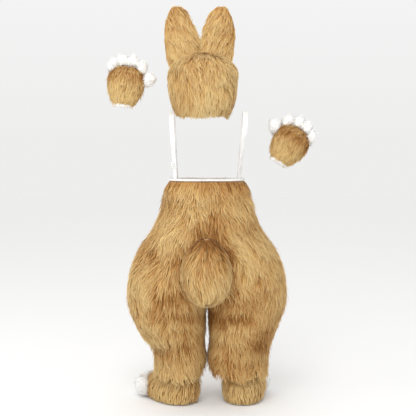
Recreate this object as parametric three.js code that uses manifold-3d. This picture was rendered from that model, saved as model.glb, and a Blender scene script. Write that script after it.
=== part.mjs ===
import * as THREE from "three";
import { mergeVertices } from "three/addons/utils/BufferGeometryUtils.js";
import Module from "manifold-3d";

const wasm = await Module();
wasm.setup();

// Bunny fursuit of long-pile fur cloth, worn and seen without its wearer: high-waisted trousers
// on two shoulder tapes with a round tail, a hooded head with two tall ears, two paws and two feet.
// Millimetres. The suit faces +Y, so its back and tail face -Y. Heights are above the soles.
const waistHeight = 1067;
const seamGap = 0.3;
const bindingHeight = 9;
const bindingThickness = 6;
const furThickness = 22;
const trimmedFurThickness = 8;
const trimFrom = 1000;

// How finely each form is divided.
const trouserSteps = { around: 10, up: 21 };
const earSteps = { across: 8, up: 9 };
const strapSteps = 40;
const headSegments = [26, 14];
const mittSegments = [16, 10];
const muzzleSegments = [14, 10];
const tailSegments = [18, 12];
const smallSegments = [10, 6];
const cuffSteps = 16;
const footSteps = { around: 20, up: 7 };
const soleSteps = 28;
const searchStep = 0.002;

// Trousers, a row for each height: how far each leg reaches outwards, where its inner side lies
// (below zero the two legs run together), and how deep it is behind and in front.
const trouserRows = [
  { z: 162, left: 250, right: 288, inner: 22, back: 128, front: 122 },
  { z: 212, left: 250, right: 291, inner: 8, back: 126, front: 120 },
  { z: 262, left: 262, right: 297, inner: 10, back: 129, front: 123 },
  { z: 292, left: 274, right: 303, inner: 12, back: 135, front: 128 },
  { z: 318, left: 306, right: 316, inner: 12, back: 146, front: 136 },
  { z: 362, left: 332, right: 332, inner: 11, back: 158, front: 145 },
  { z: 400, left: 349, right: 348, inner: 9, back: 168, front: 153 },
  { z: 450, left: 368, right: 366, inner: 4, back: 177, front: 161 },
  { z: 512, left: 377, right: 375, inner: -14, back: 184, front: 167 },
  { z: 587, left: 370, right: 369, inner: -58, back: 187, front: 169 },
  { z: 663, left: 349, right: 352, inner: -100, back: 183, front: 164 },
  { z: 738, left: 313, right: 317, inner: -118, back: 173, front: 153 },
  { z: 813, left: 259, right: 263, inner: -122, back: 158, front: 138 },
  { z: 888, left: 227, right: 230, inner: -118, back: 144, front: 126 },
  { z: 963, left: 208, right: 210, inner: -112, back: 133, front: 118 },
  { z: 1030, left: 193, right: 191, inner: -104, back: 123, front: 111 },
  { z: 1058, left: 184, right: 181, inner: -100, back: 115, front: 105 },
];

// Folds of the trousers: side -1 left, 1 right; face -1 back, 1 front; where the fold's middle lies,
// how far it runs sideways and up, how it slopes, and how far it stands out (below zero, a trough).
const foldRows = [
  { side: -1, face: -1, x: 160, z: 468, run: 120, rise: 20, slope: 0.05, out: -13 },
  { side: 1, face: -1, x: 120, z: 455, run: 95, rise: 22, slope: 0.12, out: -15 },
  { side: -1, face: -1, x: 165, z: 560, run: 55, rise: 24, slope: -0.25, out: -13 },
  { side: -1, face: -1, x: 105, z: 712, run: 45, rise: 22, slope: -0.45, out: -14 },
  { side: 1, face: -1, x: 125, z: 676, run: 50, rise: 20, slope: -0.7, out: -13 },
  { side: 1, face: -1, x: 225, z: 532, run: 35, rise: 26, slope: -0.9, out: -10 },
  { side: -1, face: -1, x: 232, z: 752, run: 30, rise: 26, slope: 0.5, out: -9 },
  { side: -1, face: -1, x: 200, z: 345, run: 130, rise: 22, slope: 0.0, out: 9 },
  { side: -1, face: -1, x: 222, z: 278, run: 60, rise: 17, slope: 0.1, out: -10 },
  { side: -1, face: -1, x: 110, z: 312, run: 60, rise: 17, slope: 0.1, out: -9 },
  { side: 1, face: -1, x: 220, z: 340, run: 60, rise: 18, slope: -0.35, out: -12 },
  { side: 1, face: -1, x: 240, z: 215, run: 50, rise: 18, slope: -0.3, out: -9 },
  { side: -1, face: 1, x: 190, z: 455, run: 110, rise: 24, slope: 0.08, out: -13 },
  { side: 1, face: 1, x: 200, z: 470, run: 110, rise: 22, slope: -0.05, out: -13 },
  { side: -1, face: 1, x: 110, z: 640, run: 70, rise: 24, slope: 0.4, out: -11 },
  { side: 1, face: 1, x: 130, z: 615, run: 70, rise: 24, slope: 0.35, out: -11 },
  { side: -1, face: 1, x: 180, z: 300, run: 80, rise: 20, slope: 0.1, out: -10 },
  { side: 1, face: 1, x: 190, z: 315, run: 80, rise: 20, slope: -0.1, out: -10 },
];

// Shoulder tapes: the path of each tape over the shoulder, from the back of the waist to its front,
// and how far from the centre it lies at the waist and at the top. Its ends are sewn inside the waist.
const strapWidth = 22;
const strapThickness = 2;
const strapClearance = 1.9;
const strapEndHeight = 1036;
const strapTwist = { from: 1150, to: 1290 };
const strapPath = [
  { y: -68, z: 1120 },
  { y: -78, z: 1190 },
  { y: -87, z: 1265 },
  { y: -86, z: 1312 },
  { y: -68, z: 1352 },
  { y: -34, z: 1374 },
  { y: 8, z: 1379 },
  { y: 50, z: 1364 },
  { y: 78, z: 1322 },
  { y: 88, z: 1260 },
  { y: 78, z: 1190 },
  { y: 66, z: 1120 },
];
const strapSides = {
  left: { side: -1, waistX: 146, topX: 163, sliderHeight: 1130 },
  right: { side: 1, waistX: 150, topX: 178, sliderHeight: 1112 },
};
const slider = { width: 34, height: 26, thickness: 3, bar: 4, corner: 3, gap: 0.7 };

// Tail: a stuffed drop that hangs from the back seam.
const tail = { x: -2, y: -205, z: 646, half: 118, depth: 104, up: 172, down: 148 };
const tailSeatDepths = [40, 80];

// Hooded head: middle, half width, depth behind and in front, and reach up and down.
const head = { x: -19, y: 8, z: 1546, half: 163, back: 158, front: 150, up: 108, down: 214 };
const headWall = { top: 42, bottom: 14 };
const headReach = 400;
const hoodHemHeight = 1356;
const faceSeamY = 6;
const muzzle = { x: -19, y: 132, z: 1440, half: 74, depth: 72, height: 56 };
const nose = { x: -19, y: 204, z: 1468, half: 19, depth: 12, height: 13 };
const eye = { out: 66, y: 128, z: 1508, half: 25, depth: 26, height: 33 };

// Ears: middle line from base to tip for each side, and the half width along it.
const earSides = {
  left: { baseX: -108, tipX: -141 },
  right: { baseX: 47, tipX: 67 },
};
const ear = { baseZ: 1588, tipZ: 1872, baseY: 22, tipY: 34, cup: 26, backThickness: 30, frontThickness: 14 };
const earWidest = 85;
const earRounding = { edge: 0.22, fullHalf: 60 };
const earWidths = [
  { v: 0, half: 72 },
  { v: 0.2, half: 80 },
  { v: 0.38, half: 85 },
  { v: 0.58, half: 82 },
  { v: 0.72, half: 71 },
  { v: 0.85, half: 53 },
  { v: 0.94, half: 35 },
  { v: 1, half: 14 },
];

// Paws: the mitt's form from its cuff, the stuffed fingers and thumb, and how each hand is held.
const mitt = { x: 0, y: 0, z: 105, half: 86, back: 52, front: 46, up: 76, down: 121 };
const mittWall = { top: 20, bottom: 9 };
const handReach = 300;
const cuff = { half: 45, depth: 31, height: 16, thickness: 4 };
const fingers = [
  { across: -62, along: 164 },
  { across: -24, along: 186 },
  { across: 17, along: 188 },
  { across: 57, along: 170 },
];
const finger = { half: 27, depth: 27, reach: 34 };
const thumb = { across: 98, along: 124, reach: 33, tilt: 50 };
const pawSides = {
  left: { x: -391, y: 0, z: 1414, tilt: 8, thumbSide: 1 },
  right: { x: 341, y: 0, z: 1150, tilt: 31, thumbSide: -1 },
};

// Feet: a row for each height with the reach of heel and toe from the ankle, and the half width.
const soleThickness = 14;
const soleInset = 4;
const footRows = [
  { z: 14.3, heel: 98, toe: 178, half: 84 },
  { z: 45, heel: 112, toe: 190, half: 95 },
  { z: 80, heel: 113, toe: 178, half: 95 },
  { z: 110, heel: 103, toe: 140, half: 87 },
  { z: 136, heel: 86, toe: 98, half: 76 },
  { z: 178, heel: 80, toe: 82, half: 72 },
];
const footWall = 20;
const filledFootWall = 60;
const toes = [
  { across: -66, along: 158 },
  { across: -23, along: 184 },
  { across: 23, along: 184 },
  { across: 66, along: 158 },
];
const toe = { half: 32, reach: 46, height: 45, z: 60 };
const footSides = {
  left: { x: -143.6, y: 0, turn: 50 },
  right: { x: 176, y: 8, turn: -14 },
};

const colours = { tan: 0xc49d64, white: 0xf2efe8, cream: 0xe6d3b4, tape: 0xf4f2ee, plastic: 0xf1f1ef };
const eyeColour = 0x1c1917;
const noseColour = 0xc98b86;
const soleColour = 0x8d8377;

const suit = new THREE.Group();
suit.position.z = -waistHeight;

function material(colour, roughness) {
  return new THREE.MeshStandardMaterial({ color: colour, roughness, metalness: 0 });
}

const tanFur = () => material(colours.tan, 0.95);
const whiteFur = () => material(colours.white, 0.95);

function addPiece(name, geometry, finish, parent = suit) {
  const mesh = new THREE.Mesh(geometry, finish);
  mesh.name = name;
  parent.add(mesh);
  return mesh;
}

// Reads a column of a table at any place between its rows, along a smooth curve through them.
function sample(rows, key, at, column) {
  let i = 0;
  while (i < rows.length - 2 && at > rows[i + 1][key]) {
    i += 1;
  }
  const low = rows[i];
  const high = rows[i + 1];
  const before = rows[Math.max(i - 1, 0)];
  const after = rows[Math.min(i + 2, rows.length - 1)];
  const span = high[key] - low[key];
  const t = THREE.MathUtils.clamp((at - low[key]) / span, 0, 1);
  const slopeLow = ((high[column] - before[column]) / (high[key] - before[key])) * span;
  const slopeHigh = ((after[column] - low[column]) / (after[key] - low[key])) * span;
  const rise = high[column] - low[column];
  const bend = slopeLow + slopeHigh - 2 * rise;
  return low[column] + t * (slopeLow + t * (3 * rise - 2 * slopeLow - slopeHigh + t * bend));
}

// Makes a closed mesh from corner points and triangles, with its faces turned outwards.
function closedMesh(points, triangles) {
  let volume = 0;
  for (const [a, b, c] of triangles) {
    volume += points[a].dot(points[b].clone().cross(points[c]));
  }
  const turned = volume < 0 ? triangles.map(([a, b, c]) => [a, c, b]) : triangles;
  const geometry = new THREE.BufferGeometry();
  geometry.setAttribute("position", new THREE.Float32BufferAttribute(points.flatMap((p) => p.toArray()), 3));
  geometry.setIndex(turned.flat());
  geometry.computeVertexNormals();
  return geometry;
}

// A wall of cloth between two faces, each a function of u and v from 0 to 1. A ring joins u = 1 to u = 0.
function clothWall(outer, inner, across, along, ring = false) {
  const columns = ring ? across : across + 1;
  const layer = columns * (along + 1);
  const points = [];
  for (const face of [outer, inner]) {
    for (let j = 0; j <= along; j += 1) {
      for (let i = 0; i < columns; i += 1) {
        points.push(face(i / across, j / along));
      }
    }
  }
  const triangles = [];
  const quad = (a, b, c, d) => triangles.push([a, b, c], [a, c, d]);
  const at = (i, j) => j * columns + (i % columns);
  for (let i = 0; i < across; i += 1) {
    for (let j = 0; j < along; j += 1) {
      quad(at(i, j), at(i + 1, j), at(i + 1, j + 1), at(i, j + 1));
      quad(layer + at(i, j), layer + at(i, j + 1), layer + at(i + 1, j + 1), layer + at(i + 1, j));
    }
    quad(at(i, 0), layer + at(i, 0), layer + at(i + 1, 0), at(i + 1, 0));
    quad(at(i, along), at(i + 1, along), layer + at(i + 1, along), layer + at(i, along));
  }
  if (!ring) {
    for (let j = 0; j < along; j += 1) {
      quad(at(0, j), at(0, j + 1), layer + at(0, j + 1), layer + at(0, j));
      quad(at(across, j), layer + at(across, j), layer + at(across, j + 1), at(across, j + 1));
    }
  }
  return closedMesh(points, triangles);
}

function toSolid(geometry) {
  const bare = geometry.clone();
  bare.deleteAttribute("normal");
  bare.deleteAttribute("uv");
  const merged = mergeVertices(bare, 1e-4);
  const vertProperties = new Float32Array(merged.attributes.position.array);
  const triVerts = new Uint32Array(merged.index.array);
  return new wasm.Manifold(new wasm.Mesh({ numProp: 3, vertProperties, triVerts }));
}

function toGeometry(solid) {
  const mesh = solid.getMesh();
  const geometry = new THREE.BufferGeometry();
  geometry.setAttribute("position", new THREE.BufferAttribute(new Float32Array(mesh.vertProperties), 3));
  geometry.setIndex(new THREE.BufferAttribute(new Uint32Array(mesh.triVerts), 1));
  geometry.computeVertexNormals();
  return geometry;
}

function boxSolid(low, high) {
  const box = new THREE.BoxGeometry(high[0] - low[0], high[1] - low[1], high[2] - low[2]);
  box.translate((low[0] + high[0]) / 2, (low[1] + high[1]) / 2, (low[2] + high[2]) / 2);
  return toSolid(box);
}

// A closed round form whose upper and lower halves may be fuller or leaner than an ellipse.
// wall draws the form inwards, by wall.top at its top, easing to wall.bottom at its lower end,
// and keeps its lower reach, so that a hollow stays wide at its mouth.
function roundForm(form, powers, segments, grow = 0, wall = { top: 0, bottom: 0 }) {
  const sphere = new THREE.SphereGeometry(1, segments[0], segments[1]);
  sphere.rotateX(Math.PI / 2);
  sphere.deleteAttribute("normal");
  sphere.deleteAttribute("uv");
  const geometry = mergeVertices(sphere, 1e-4);
  const position = geometry.attributes.position;
  for (let i = 0; i < position.count; i += 1) {
    const height = position.getZ(i);
    const ring = Math.sqrt(Math.max(1 - height * height, 0));
    const turn = Math.atan2(position.getY(i), position.getX(i));
    const power = height > 0 ? powers.upper : powers.lower;
    const ease = THREE.MathUtils.smoothstep(height, -1, -0.1);
    const draw = grow - THREE.MathUtils.lerp(wall.bottom, wall.top, ease);
    const reach = ring ** (2 / power);
    const rise = Math.sign(height) * Math.abs(height) ** (2 / power);
    const depth = Math.sin(turn) < 0 ? form.back : form.front;
    position.setX(i, form.x + (form.half + draw) * reach * Math.cos(turn));
    position.setY(i, form.y + (depth + draw) * reach * Math.sin(turn));
    position.setZ(i, form.z + (height > 0 ? form.up + draw : form.down + grow) * rise);
  }
  return geometry;
}

// A stuffed ball with three half sizes.
function ball(x, y, z, half, depth, height, segments = smallSegments) {
  const form = { x, y, z, half, back: depth, front: depth, up: height, down: height };
  return toSolid(roundForm(form, { upper: 2, lower: 2 }, segments));
}

// Trousers
function foldDepth(side, face, x, z) {
  let out = 0;
  for (const fold of foldRows) {
    if (fold.side === side && fold.face === face) {
      const acrossFold = (x - fold.x) / fold.run;
      const upFold = (z - fold.z - fold.slope * (x - fold.x)) / fold.rise;
      out += fold.out * Math.exp(-acrossFold * acrossFold - upFold * upFold);
    }
  }
  return out;
}

// A point of one leg's wall: t runs from the side seam (0) round to the centre or inner leg seam (1).
// inset draws it in to the wall's inner face, grow moves it out, and lap carries its end past the seam.
function trouserPoint(side, face, t, z, { inset = 0, grow = 0, gap = seamGap, lap = 0 } = {}) {
  const outerEdge = sample(trouserRows, "z", z, side < 0 ? "left" : "right");
  const innerEdge = sample(trouserRows, "z", z, "inner");
  const middle = (outerEdge + innerEdge) / 2;
  const half = (outerEdge - innerEdge) / 2 - inset;
  const depth = sample(trouserRows, "z", z, face < 0 ? "back" : "front") - inset;
  const centreCosine = THREE.MathUtils.clamp((middle - gap / 2) / half, -1, 1);
  const angle = THREE.MathUtils.lerp(Math.PI, Math.acos(centreCosine), t);
  const x = middle - half * Math.cos(angle);
  const y = depth * Math.sin(angle);
  const normal = new THREE.Vector2(-Math.cos(angle) / half, Math.sin(angle) / depth).normalize();
  const out = inset > 0 ? 0 : grow + foldDepth(side, face, x, z) * Math.sqrt(Math.sin(angle));
  const moved = Math.max(x + normal.x * out, gap / 2) - (t === 1 ? lap : 0);
  return new THREE.Vector3(side * moved, face * (y + normal.y * out + seamGap / 2), z);
}

const hemHeight = trouserRows[0].z;
const waistEdge = trouserRows[trouserRows.length - 1].z;

function trouserPanel(side, face, thickness, seat = {}) {
  const place = (v) => THREE.MathUtils.lerp(hemHeight, waistEdge, v);
  const trim = (z) => THREE.MathUtils.smoothstep(z, trimFrom, waistEdge);
  const inset = (z) => THREE.MathUtils.lerp(thickness, trimmedFurThickness, trim(z));
  return clothWall(
    (t, v) => trouserPoint(side, face, t, place(v), seat),
    (t, v) => trouserPoint(side, face, t, place(v), { inset: inset(place(v)), lap: seat.lap }),
    trouserSteps.around,
    trouserSteps.up,
  );
}

for (const [sideName, side] of [["left", -1], ["right", 1]]) {
  for (const [faceName, face] of [["back", -1], ["front", 1]]) {
    const panel = trouserPanel(side, face, furThickness);
    addPiece(`trousers_${faceName}_${sideName}`, panel, tanFur());
  }
}

// The binding follows the waist's edge all round, in four quarters.
function waistPoint(turn, z, inset) {
  const quarter = Math.min(Math.floor(turn * 4), 3);
  const t = turn * 4 - quarter;
  const side = quarter < 2 ? -1 : 1;
  const face = quarter === 0 || quarter === 3 ? -1 : 1;
  const alongQuarter = quarter % 2 === 0 ? 1 - t : t;
  const point = trouserPoint(side, face, alongQuarter, waistEdge, { inset, gap: 0 });
  return new THREE.Vector3(point.x, point.y, z);
}

const waistBinding = clothWall(
  (turn, v) => waistPoint(turn, waistEdge + seamGap + v * (bindingHeight - seamGap), 0.5),
  (turn, v) => waistPoint(turn, waistEdge + seamGap + v * (bindingHeight - seamGap), bindingThickness),
  36,
  1,
  true,
);
addPiece("waist_binding", waistBinding, material(colours.tape, 0.85));

const tailPowers = { upper: 1.7, lower: 2.2 };
const tailForm = { ...tail, back: tail.depth, front: tail.depth };
let tailSolid = toSolid(roundForm(tailForm, tailPowers, tailSegments));
for (const side of [-1, 1]) {
  for (const thickness of tailSeatDepths) {
    const seat = trouserPanel(side, -1, thickness, { grow: seamGap, lap: 1 });
    tailSolid = tailSolid.subtract(toSolid(seat));
  }
}
addPiece("tail", toGeometry(tailSolid), tanFur());

// Shoulder tapes and their sliders
// Where the waist's inner face lies at a distance from the centre, and how it is turned there.
function waistInside(side, face, reach) {
  const at = (t) => trouserPoint(side, face, t, waistEdge, { inset: trimmedFurThickness });
  let t = 0;
  while (Math.abs(at(t).x) > reach) {
    t += searchStep;
  }
  const inward = at(t + searchStep).sub(at(t));
  const turn = Math.atan2(inward.y, -side * inward.x);
  const clearance = (strapThickness + strapClearance) / Math.cos(turn);
  return { y: at(t).y - face * clearance, turn };
}

function strapOf(row) {
  const ends = { back: waistInside(row.side, -1, row.waistX), front: waistInside(row.side, 1, row.waistX) };
  const path = [
    { y: ends.back.y, z: strapEndHeight },
    { y: ends.back.y, z: waistHeight },
    ...strapPath,
    { y: ends.front.y, z: waistHeight },
    { y: ends.front.y, z: strapEndHeight },
  ];
  const curve = new THREE.CatmullRomCurve3(path.map(({ y, z }) => new THREE.Vector3(0, y, z)));
  return { ...row, ends, curve };
}

const strapTop = Math.max(...strapPath.map((row) => row.z));

function strapPoint(strap, u, v, lift) {
  const point = strap.curve.getPoint(v);
  const tangent = strap.curve.getTangent(v);
  const climb = THREE.MathUtils.smoothstep(point.z, strapEndHeight, strapTop);
  const middle = THREE.MathUtils.lerp(strap.waistX, strap.topX, climb) * strap.side;
  const end = v < 0.5 ? strap.ends.back : strap.ends.front;
  const twist = end.turn * (1 - THREE.MathUtils.smoothstep(point.z, strapTwist.from, strapTwist.to));
  const across = (u - 0.5) * strapWidth;
  const widthways = new THREE.Vector3(Math.cos(twist), -strap.side * Math.sin(twist), 0);
  const facing = -tangent.z;
  const outward = new THREE.Vector3(strap.side * Math.sin(twist), Math.cos(twist), 0).multiplyScalar(facing);
  outward.z = tangent.y;
  const centre = new THREE.Vector3(middle, point.y, point.z);
  return centre.addScaledVector(widthways, across).addScaledVector(outward, lift);
}

function sliderGeometry() {
  const outline = new THREE.Shape();
  const w = slider.width / 2;
  const h = slider.height / 2;
  const r = slider.corner;
  outline.moveTo(-w + r, -h);
  outline.lineTo(w - r, -h);
  outline.quadraticCurveTo(w, -h, w, -h + r);
  outline.lineTo(w, h - r);
  outline.quadraticCurveTo(w, h, w - r, h);
  outline.lineTo(-w + r, h);
  outline.quadraticCurveTo(-w, h, -w, h - r);
  outline.lineTo(-w, -h + r);
  outline.quadraticCurveTo(-w, -h, -w + r, -h);
  for (const [low, high] of [[-h + slider.bar, -slider.bar / 2], [slider.bar / 2, h - slider.bar]]) {
    const slot = new THREE.Path();
    slot.moveTo(-w + slider.bar, low);
    slot.lineTo(-w + slider.bar, high);
    slot.lineTo(w - slider.bar, high);
    slot.lineTo(w - slider.bar, low);
    outline.holes.push(slot);
  }
  const plate = new THREE.ExtrudeGeometry(outline, {
    depth: slider.thickness,
    bevelEnabled: false,
    curveSegments: 3,
  });
  plate.rotateX(Math.PI / 2);
  return plate;
}

for (const [sideName, row] of Object.entries(strapSides)) {
  const strap = strapOf(row);
  const tape = clothWall(
    (u, v) => strapPoint(strap, u, v, strapThickness),
    (u, v) => strapPoint(strap, u, v, 0),
    1,
    strapSteps,
  );
  addPiece(`strap_${sideName}`, tape, material(colours.tape, 0.8));
  let v = 0;
  while (strap.curve.getPoint(v).z < strap.sliderHeight) {
    v += searchStep;
  }
  const lift = strapThickness + slider.gap;
  const seat = strapPoint(strap, 0.5, v, lift);
  const along = strapPoint(strap, 0.5, v + 0.01, lift).sub(seat).normalize();
  const widthways = strapPoint(strap, 1, v, 0).sub(strapPoint(strap, 0, v, 0)).normalize();
  const holder = new THREE.Group();
  holder.position.copy(seat);
  const outward = new THREE.Vector3().crossVectors(widthways, along);
  holder.setRotationFromMatrix(new THREE.Matrix4().makeBasis(widthways, outward.negate(), along));
  suit.add(holder);
  addPiece(`slider_${sideName}`, sliderGeometry(), material(colours.plastic, 0.4), holder);
}

// Hooded head
const headPowers = { upper: 1.9, lower: 2.6 };
const hoodOuter = toSolid(roundForm(head, headPowers, headSegments));
const hoodInner = toSolid(roundForm(head, headPowers, headSegments, 0, headWall));
const hoodGrown = toSolid(roundForm(head, headPowers, headSegments, seamGap));
const headLow = head.z - headReach;
const headHigh = head.z + headReach;
const hood = hoodOuter
  .subtract(hoodInner)
  .subtract(boxSolid([-headReach, -headReach, headLow], [headReach, headReach, hoodHemHeight]));
const behindSeam = boxSolid(
  [-headReach, -headReach, headLow],
  [headReach, faceSeamY - seamGap / 2, headHigh],
);
const beforeSeam = boxSolid(
  [-headReach, faceSeamY + seamGap / 2, headLow],
  [headReach, headReach, headHigh],
);
addPiece("head_back", toGeometry(hood.intersect(behindSeam)), tanFur());
addPiece("head_face", toGeometry(hood.intersect(beforeSeam)), tanFur());

const muzzleSize = [muzzle.half, muzzle.depth, muzzle.height];
function muzzleBall(grow) {
  return ball(muzzle.x, muzzle.y, muzzle.z, ...muzzleSize.map((size) => size + grow), muzzleSegments);
}

addPiece("muzzle", toGeometry(muzzleBall(0).subtract(hoodGrown)), whiteFur());
const noseBall = ball(nose.x, nose.y, nose.z, nose.half, nose.depth, nose.height);
const noseSolid = noseBall.subtract(muzzleBall(seamGap));
addPiece("nose", toGeometry(noseSolid), material(noseColour, 0.7));
for (const [sideName, side] of [["left", -1], ["right", 1]]) {
  const socket = ball(head.x + side * eye.out, eye.y, eye.z, eye.half, eye.depth, eye.height);
  addPiece(`eye_${sideName}`, toGeometry(socket.subtract(hoodGrown)), material(eyeColour, 0.5));
}

// Ears: a back and a front panel, sewn together round the edge and cupped forwards.
function earPoint(side, u, v, lift) {
  const acrossEar = 2 * u - 1;
  const half = sample(earWidths, "v", v, "half");
  const middle = THREE.MathUtils.lerp(side.baseX, side.tipX, v);
  const lean = THREE.MathUtils.lerp(ear.baseY, ear.tipY, v);
  const crown = Math.sqrt(Math.max(1 - acrossEar ** 2, 0)) * Math.min(1, half / earRounding.fullHalf);
  const cupped = ear.cup * acrossEar ** 2 * (half / earWidest);
  const y = lean + cupped + lift * THREE.MathUtils.lerp(earRounding.edge, 1, crown);
  return new THREE.Vector3(middle + half * acrossEar, y, THREE.MathUtils.lerp(ear.baseZ, ear.tipZ, v));
}

const earFaces = {
  back: { from: 0, to: -ear.backThickness, finish: tanFur },
  front: { from: seamGap * 4, to: ear.frontThickness, finish: () => material(colours.cream, 0.9) },
};
for (const [sideName, side] of Object.entries(earSides)) {
  for (const [faceName, face] of Object.entries(earFaces)) {
    const panel = clothWall(
      (u, v) => earPoint(side, u, v, face.to),
      (u, v) => earPoint(side, u, v, face.from),
      earSteps.across,
      earSteps.up,
    );
    addPiece(`ear_${faceName}_${sideName}`, toGeometry(toSolid(panel).subtract(hoodGrown)), face.finish());
  }
}

// Paws
const mittPowers = { upper: 2.3, lower: 2 };
const mittGrown = toSolid(roundForm(mitt, mittPowers, mittSegments, seamGap));
const mittShell = toSolid(roundForm(mitt, mittPowers, mittSegments))
  .subtract(toSolid(roundForm(mitt, mittPowers, mittSegments, 0, mittWall)))
  .subtract(boxSolid([-handReach, -handReach, -handReach], [handReach, handReach, 0]));
const handHalves = {
  back: boxSolid([-handReach, -handReach, -handReach], [handReach, -seamGap / 2, handReach]),
  palm: boxSolid([-handReach, seamGap / 2, -handReach], [handReach, handReach, handReach]),
};

function thumbBall(side, grow) {
  const tip = new THREE.SphereGeometry(1, ...smallSegments);
  tip.rotateX(Math.PI / 2);
  tip.scale(finger.half + grow, finger.depth + grow, thumb.reach + grow);
  tip.rotateY(side * THREE.MathUtils.degToRad(thumb.tilt));
  tip.translate(side * thumb.across, 0, thumb.along);
  return toSolid(tip);
}

function fingerBall(row, side, grow) {
  const sizes = [finger.half, finger.depth, finger.reach].map((size) => size + grow);
  return ball(side * row.across, 0, row.along, ...sizes);
}

function cuffPoint(turn, v, inset) {
  const angle = turn * 2 * Math.PI;
  const reach = [cuff.half - inset, cuff.depth - inset];
  const z = -seamGap - v * cuff.height;
  return new THREE.Vector3(reach[0] * Math.cos(angle), reach[1] * Math.sin(angle), z);
}

for (const [sideName, hand] of Object.entries(pawSides)) {
  const paw = new THREE.Group();
  paw.position.set(hand.x, hand.y, hand.z);
  paw.rotation.y = THREE.MathUtils.degToRad(hand.tilt);
  suit.add(paw);
  for (const [halfName, halfBox] of Object.entries(handHalves)) {
    addPiece(`paw_${halfName}_${sideName}`, toGeometry(mittShell.intersect(halfBox)), tanFur(), paw);
  }
  let taken = mittGrown;
  fingers.forEach((row, i) => {
    const tip = fingerBall(row, hand.thumbSide, 0).subtract(taken);
    addPiece(`finger_${i + 1}_${sideName}`, toGeometry(tip), whiteFur(), paw);
    taken = taken.add(fingerBall(row, hand.thumbSide, seamGap));
  });
  const thumbTip = thumbBall(hand.thumbSide, 0).subtract(taken);
  addPiece(`thumb_${sideName}`, toGeometry(thumbTip), whiteFur(), paw);
  const cuffRing = clothWall(
    (turn, v) => cuffPoint(turn, v, 0),
    (turn, v) => cuffPoint(turn, v, cuff.thickness),
    cuffSteps,
    1,
    true,
  );
  addPiece(`cuff_${sideName}`, cuffRing, material(colours.tape, 0.85), paw);
}

// Feet
function footPoint(turn, z, inset) {
  const angle = turn * 2 * Math.PI;
  const reach = sample(footRows, "z", z, Math.cos(angle) > 0 ? "toe" : "heel") - inset;
  const half = sample(footRows, "z", z, "half") - inset;
  return new THREE.Vector3(half * Math.sin(angle), reach * Math.cos(angle), z);
}

const footBottom = footRows[0].z;
const footTop = footRows[footRows.length - 1].z;

function footUpper(grow, wall) {
  const place = (v) => THREE.MathUtils.lerp(footBottom, footTop, v);
  const outer = (turn, v) => footPoint(turn, place(v), -grow);
  const inner = (turn, v) => footPoint(turn, place(v), wall);
  return clothWall(outer, inner, footSteps.around, footSteps.up, true);
}

function soleGeometry() {
  const corners = [];
  for (let i = 0; i < soleSteps; i += 1) {
    const point = footPoint(i / soleSteps, footBottom, soleInset);
    corners.push(new THREE.Vector2(point.x, point.y));
  }
  const outline = new THREE.Shape(corners);
  return new THREE.ExtrudeGeometry(outline, { depth: soleThickness, bevelEnabled: false });
}

const footGrown = toSolid(footUpper(seamGap, filledFootWall));
for (const [sideName, side] of Object.entries(footSides)) {
  const foot = new THREE.Group();
  foot.position.set(side.x, side.y, 0);
  foot.rotation.z = THREE.MathUtils.degToRad(side.turn);
  suit.add(foot);
  addPiece(`foot_upper_${sideName}`, footUpper(0, footWall), tanFur(), foot);
  addPiece(`foot_sole_${sideName}`, soleGeometry(), material(soleColour, 0.9), foot);
  let taken = footGrown;
  toes.forEach((row, i) => {
    const sizes = [toe.half, toe.reach, toe.height];
    const tip = ball(row.across, row.along, toe.z, ...sizes).subtract(taken);
    addPiece(`toe_${i + 1}_${sideName}`, toGeometry(tip), whiteFur(), foot);
    taken = taken.add(ball(row.across, row.along, toe.z, ...sizes.map((size) => size + seamGap)));
  });
}

export default suit;
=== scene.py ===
import math

import bmesh
import bpy
import numpy as np
from mathutils import Matrix, Vector
from mathutils.bvhtree import BVHTree


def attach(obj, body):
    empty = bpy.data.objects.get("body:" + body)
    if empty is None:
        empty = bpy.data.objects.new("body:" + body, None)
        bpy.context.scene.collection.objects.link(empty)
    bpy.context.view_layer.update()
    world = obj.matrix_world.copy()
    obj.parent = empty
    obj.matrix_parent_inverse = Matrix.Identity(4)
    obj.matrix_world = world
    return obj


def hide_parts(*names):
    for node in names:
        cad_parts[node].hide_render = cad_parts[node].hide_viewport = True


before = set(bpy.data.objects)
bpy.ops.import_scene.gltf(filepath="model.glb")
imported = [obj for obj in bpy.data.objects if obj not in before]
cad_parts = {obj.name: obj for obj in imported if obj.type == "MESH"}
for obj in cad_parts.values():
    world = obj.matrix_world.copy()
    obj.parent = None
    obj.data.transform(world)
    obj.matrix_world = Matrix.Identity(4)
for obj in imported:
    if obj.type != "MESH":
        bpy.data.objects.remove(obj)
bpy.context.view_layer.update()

# Camera: the suit is seen from behind, from about 4 m away and a little above its waist,
# and the camera tilts down just enough to centre the suit between the ear tips and the soles.
camera_distance = 4.0
camera_height = 0.18
camera_aim = Vector((0.005, 0, -0.141))
lens_length = 73.6
camera_lens = bpy.data.cameras.new("camera")
camera_lens.lens = lens_length
camera = bpy.data.objects.new("camera", camera_lens)
camera.location = (camera_aim.x, -camera_distance, camera_height)
camera.rotation_euler = (camera_aim - camera.location).to_track_quat("-Z", "Y").to_euler()
bpy.context.scene.collection.objects.link(camera)
bpy.context.scene.camera = camera

# Floor and light: a plain pale studio floor in even white light, with a large soft light
# high behind the camera, which leaves soft shade under the seat and the tail.
bpy.context.scene.view_settings.view_transform = "Standard"
floor_height = -1.0675
floor_half_width = 14
floor_grey = (247, 247, 246)
floor_roughness = 0.9
floor_mesh = bmesh.new()
bmesh.ops.create_grid(floor_mesh, x_segments=1, y_segments=1, size=floor_half_width)
bmesh.ops.translate(floor_mesh, vec=(0, 0, floor_height), verts=floor_mesh.verts)


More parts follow.
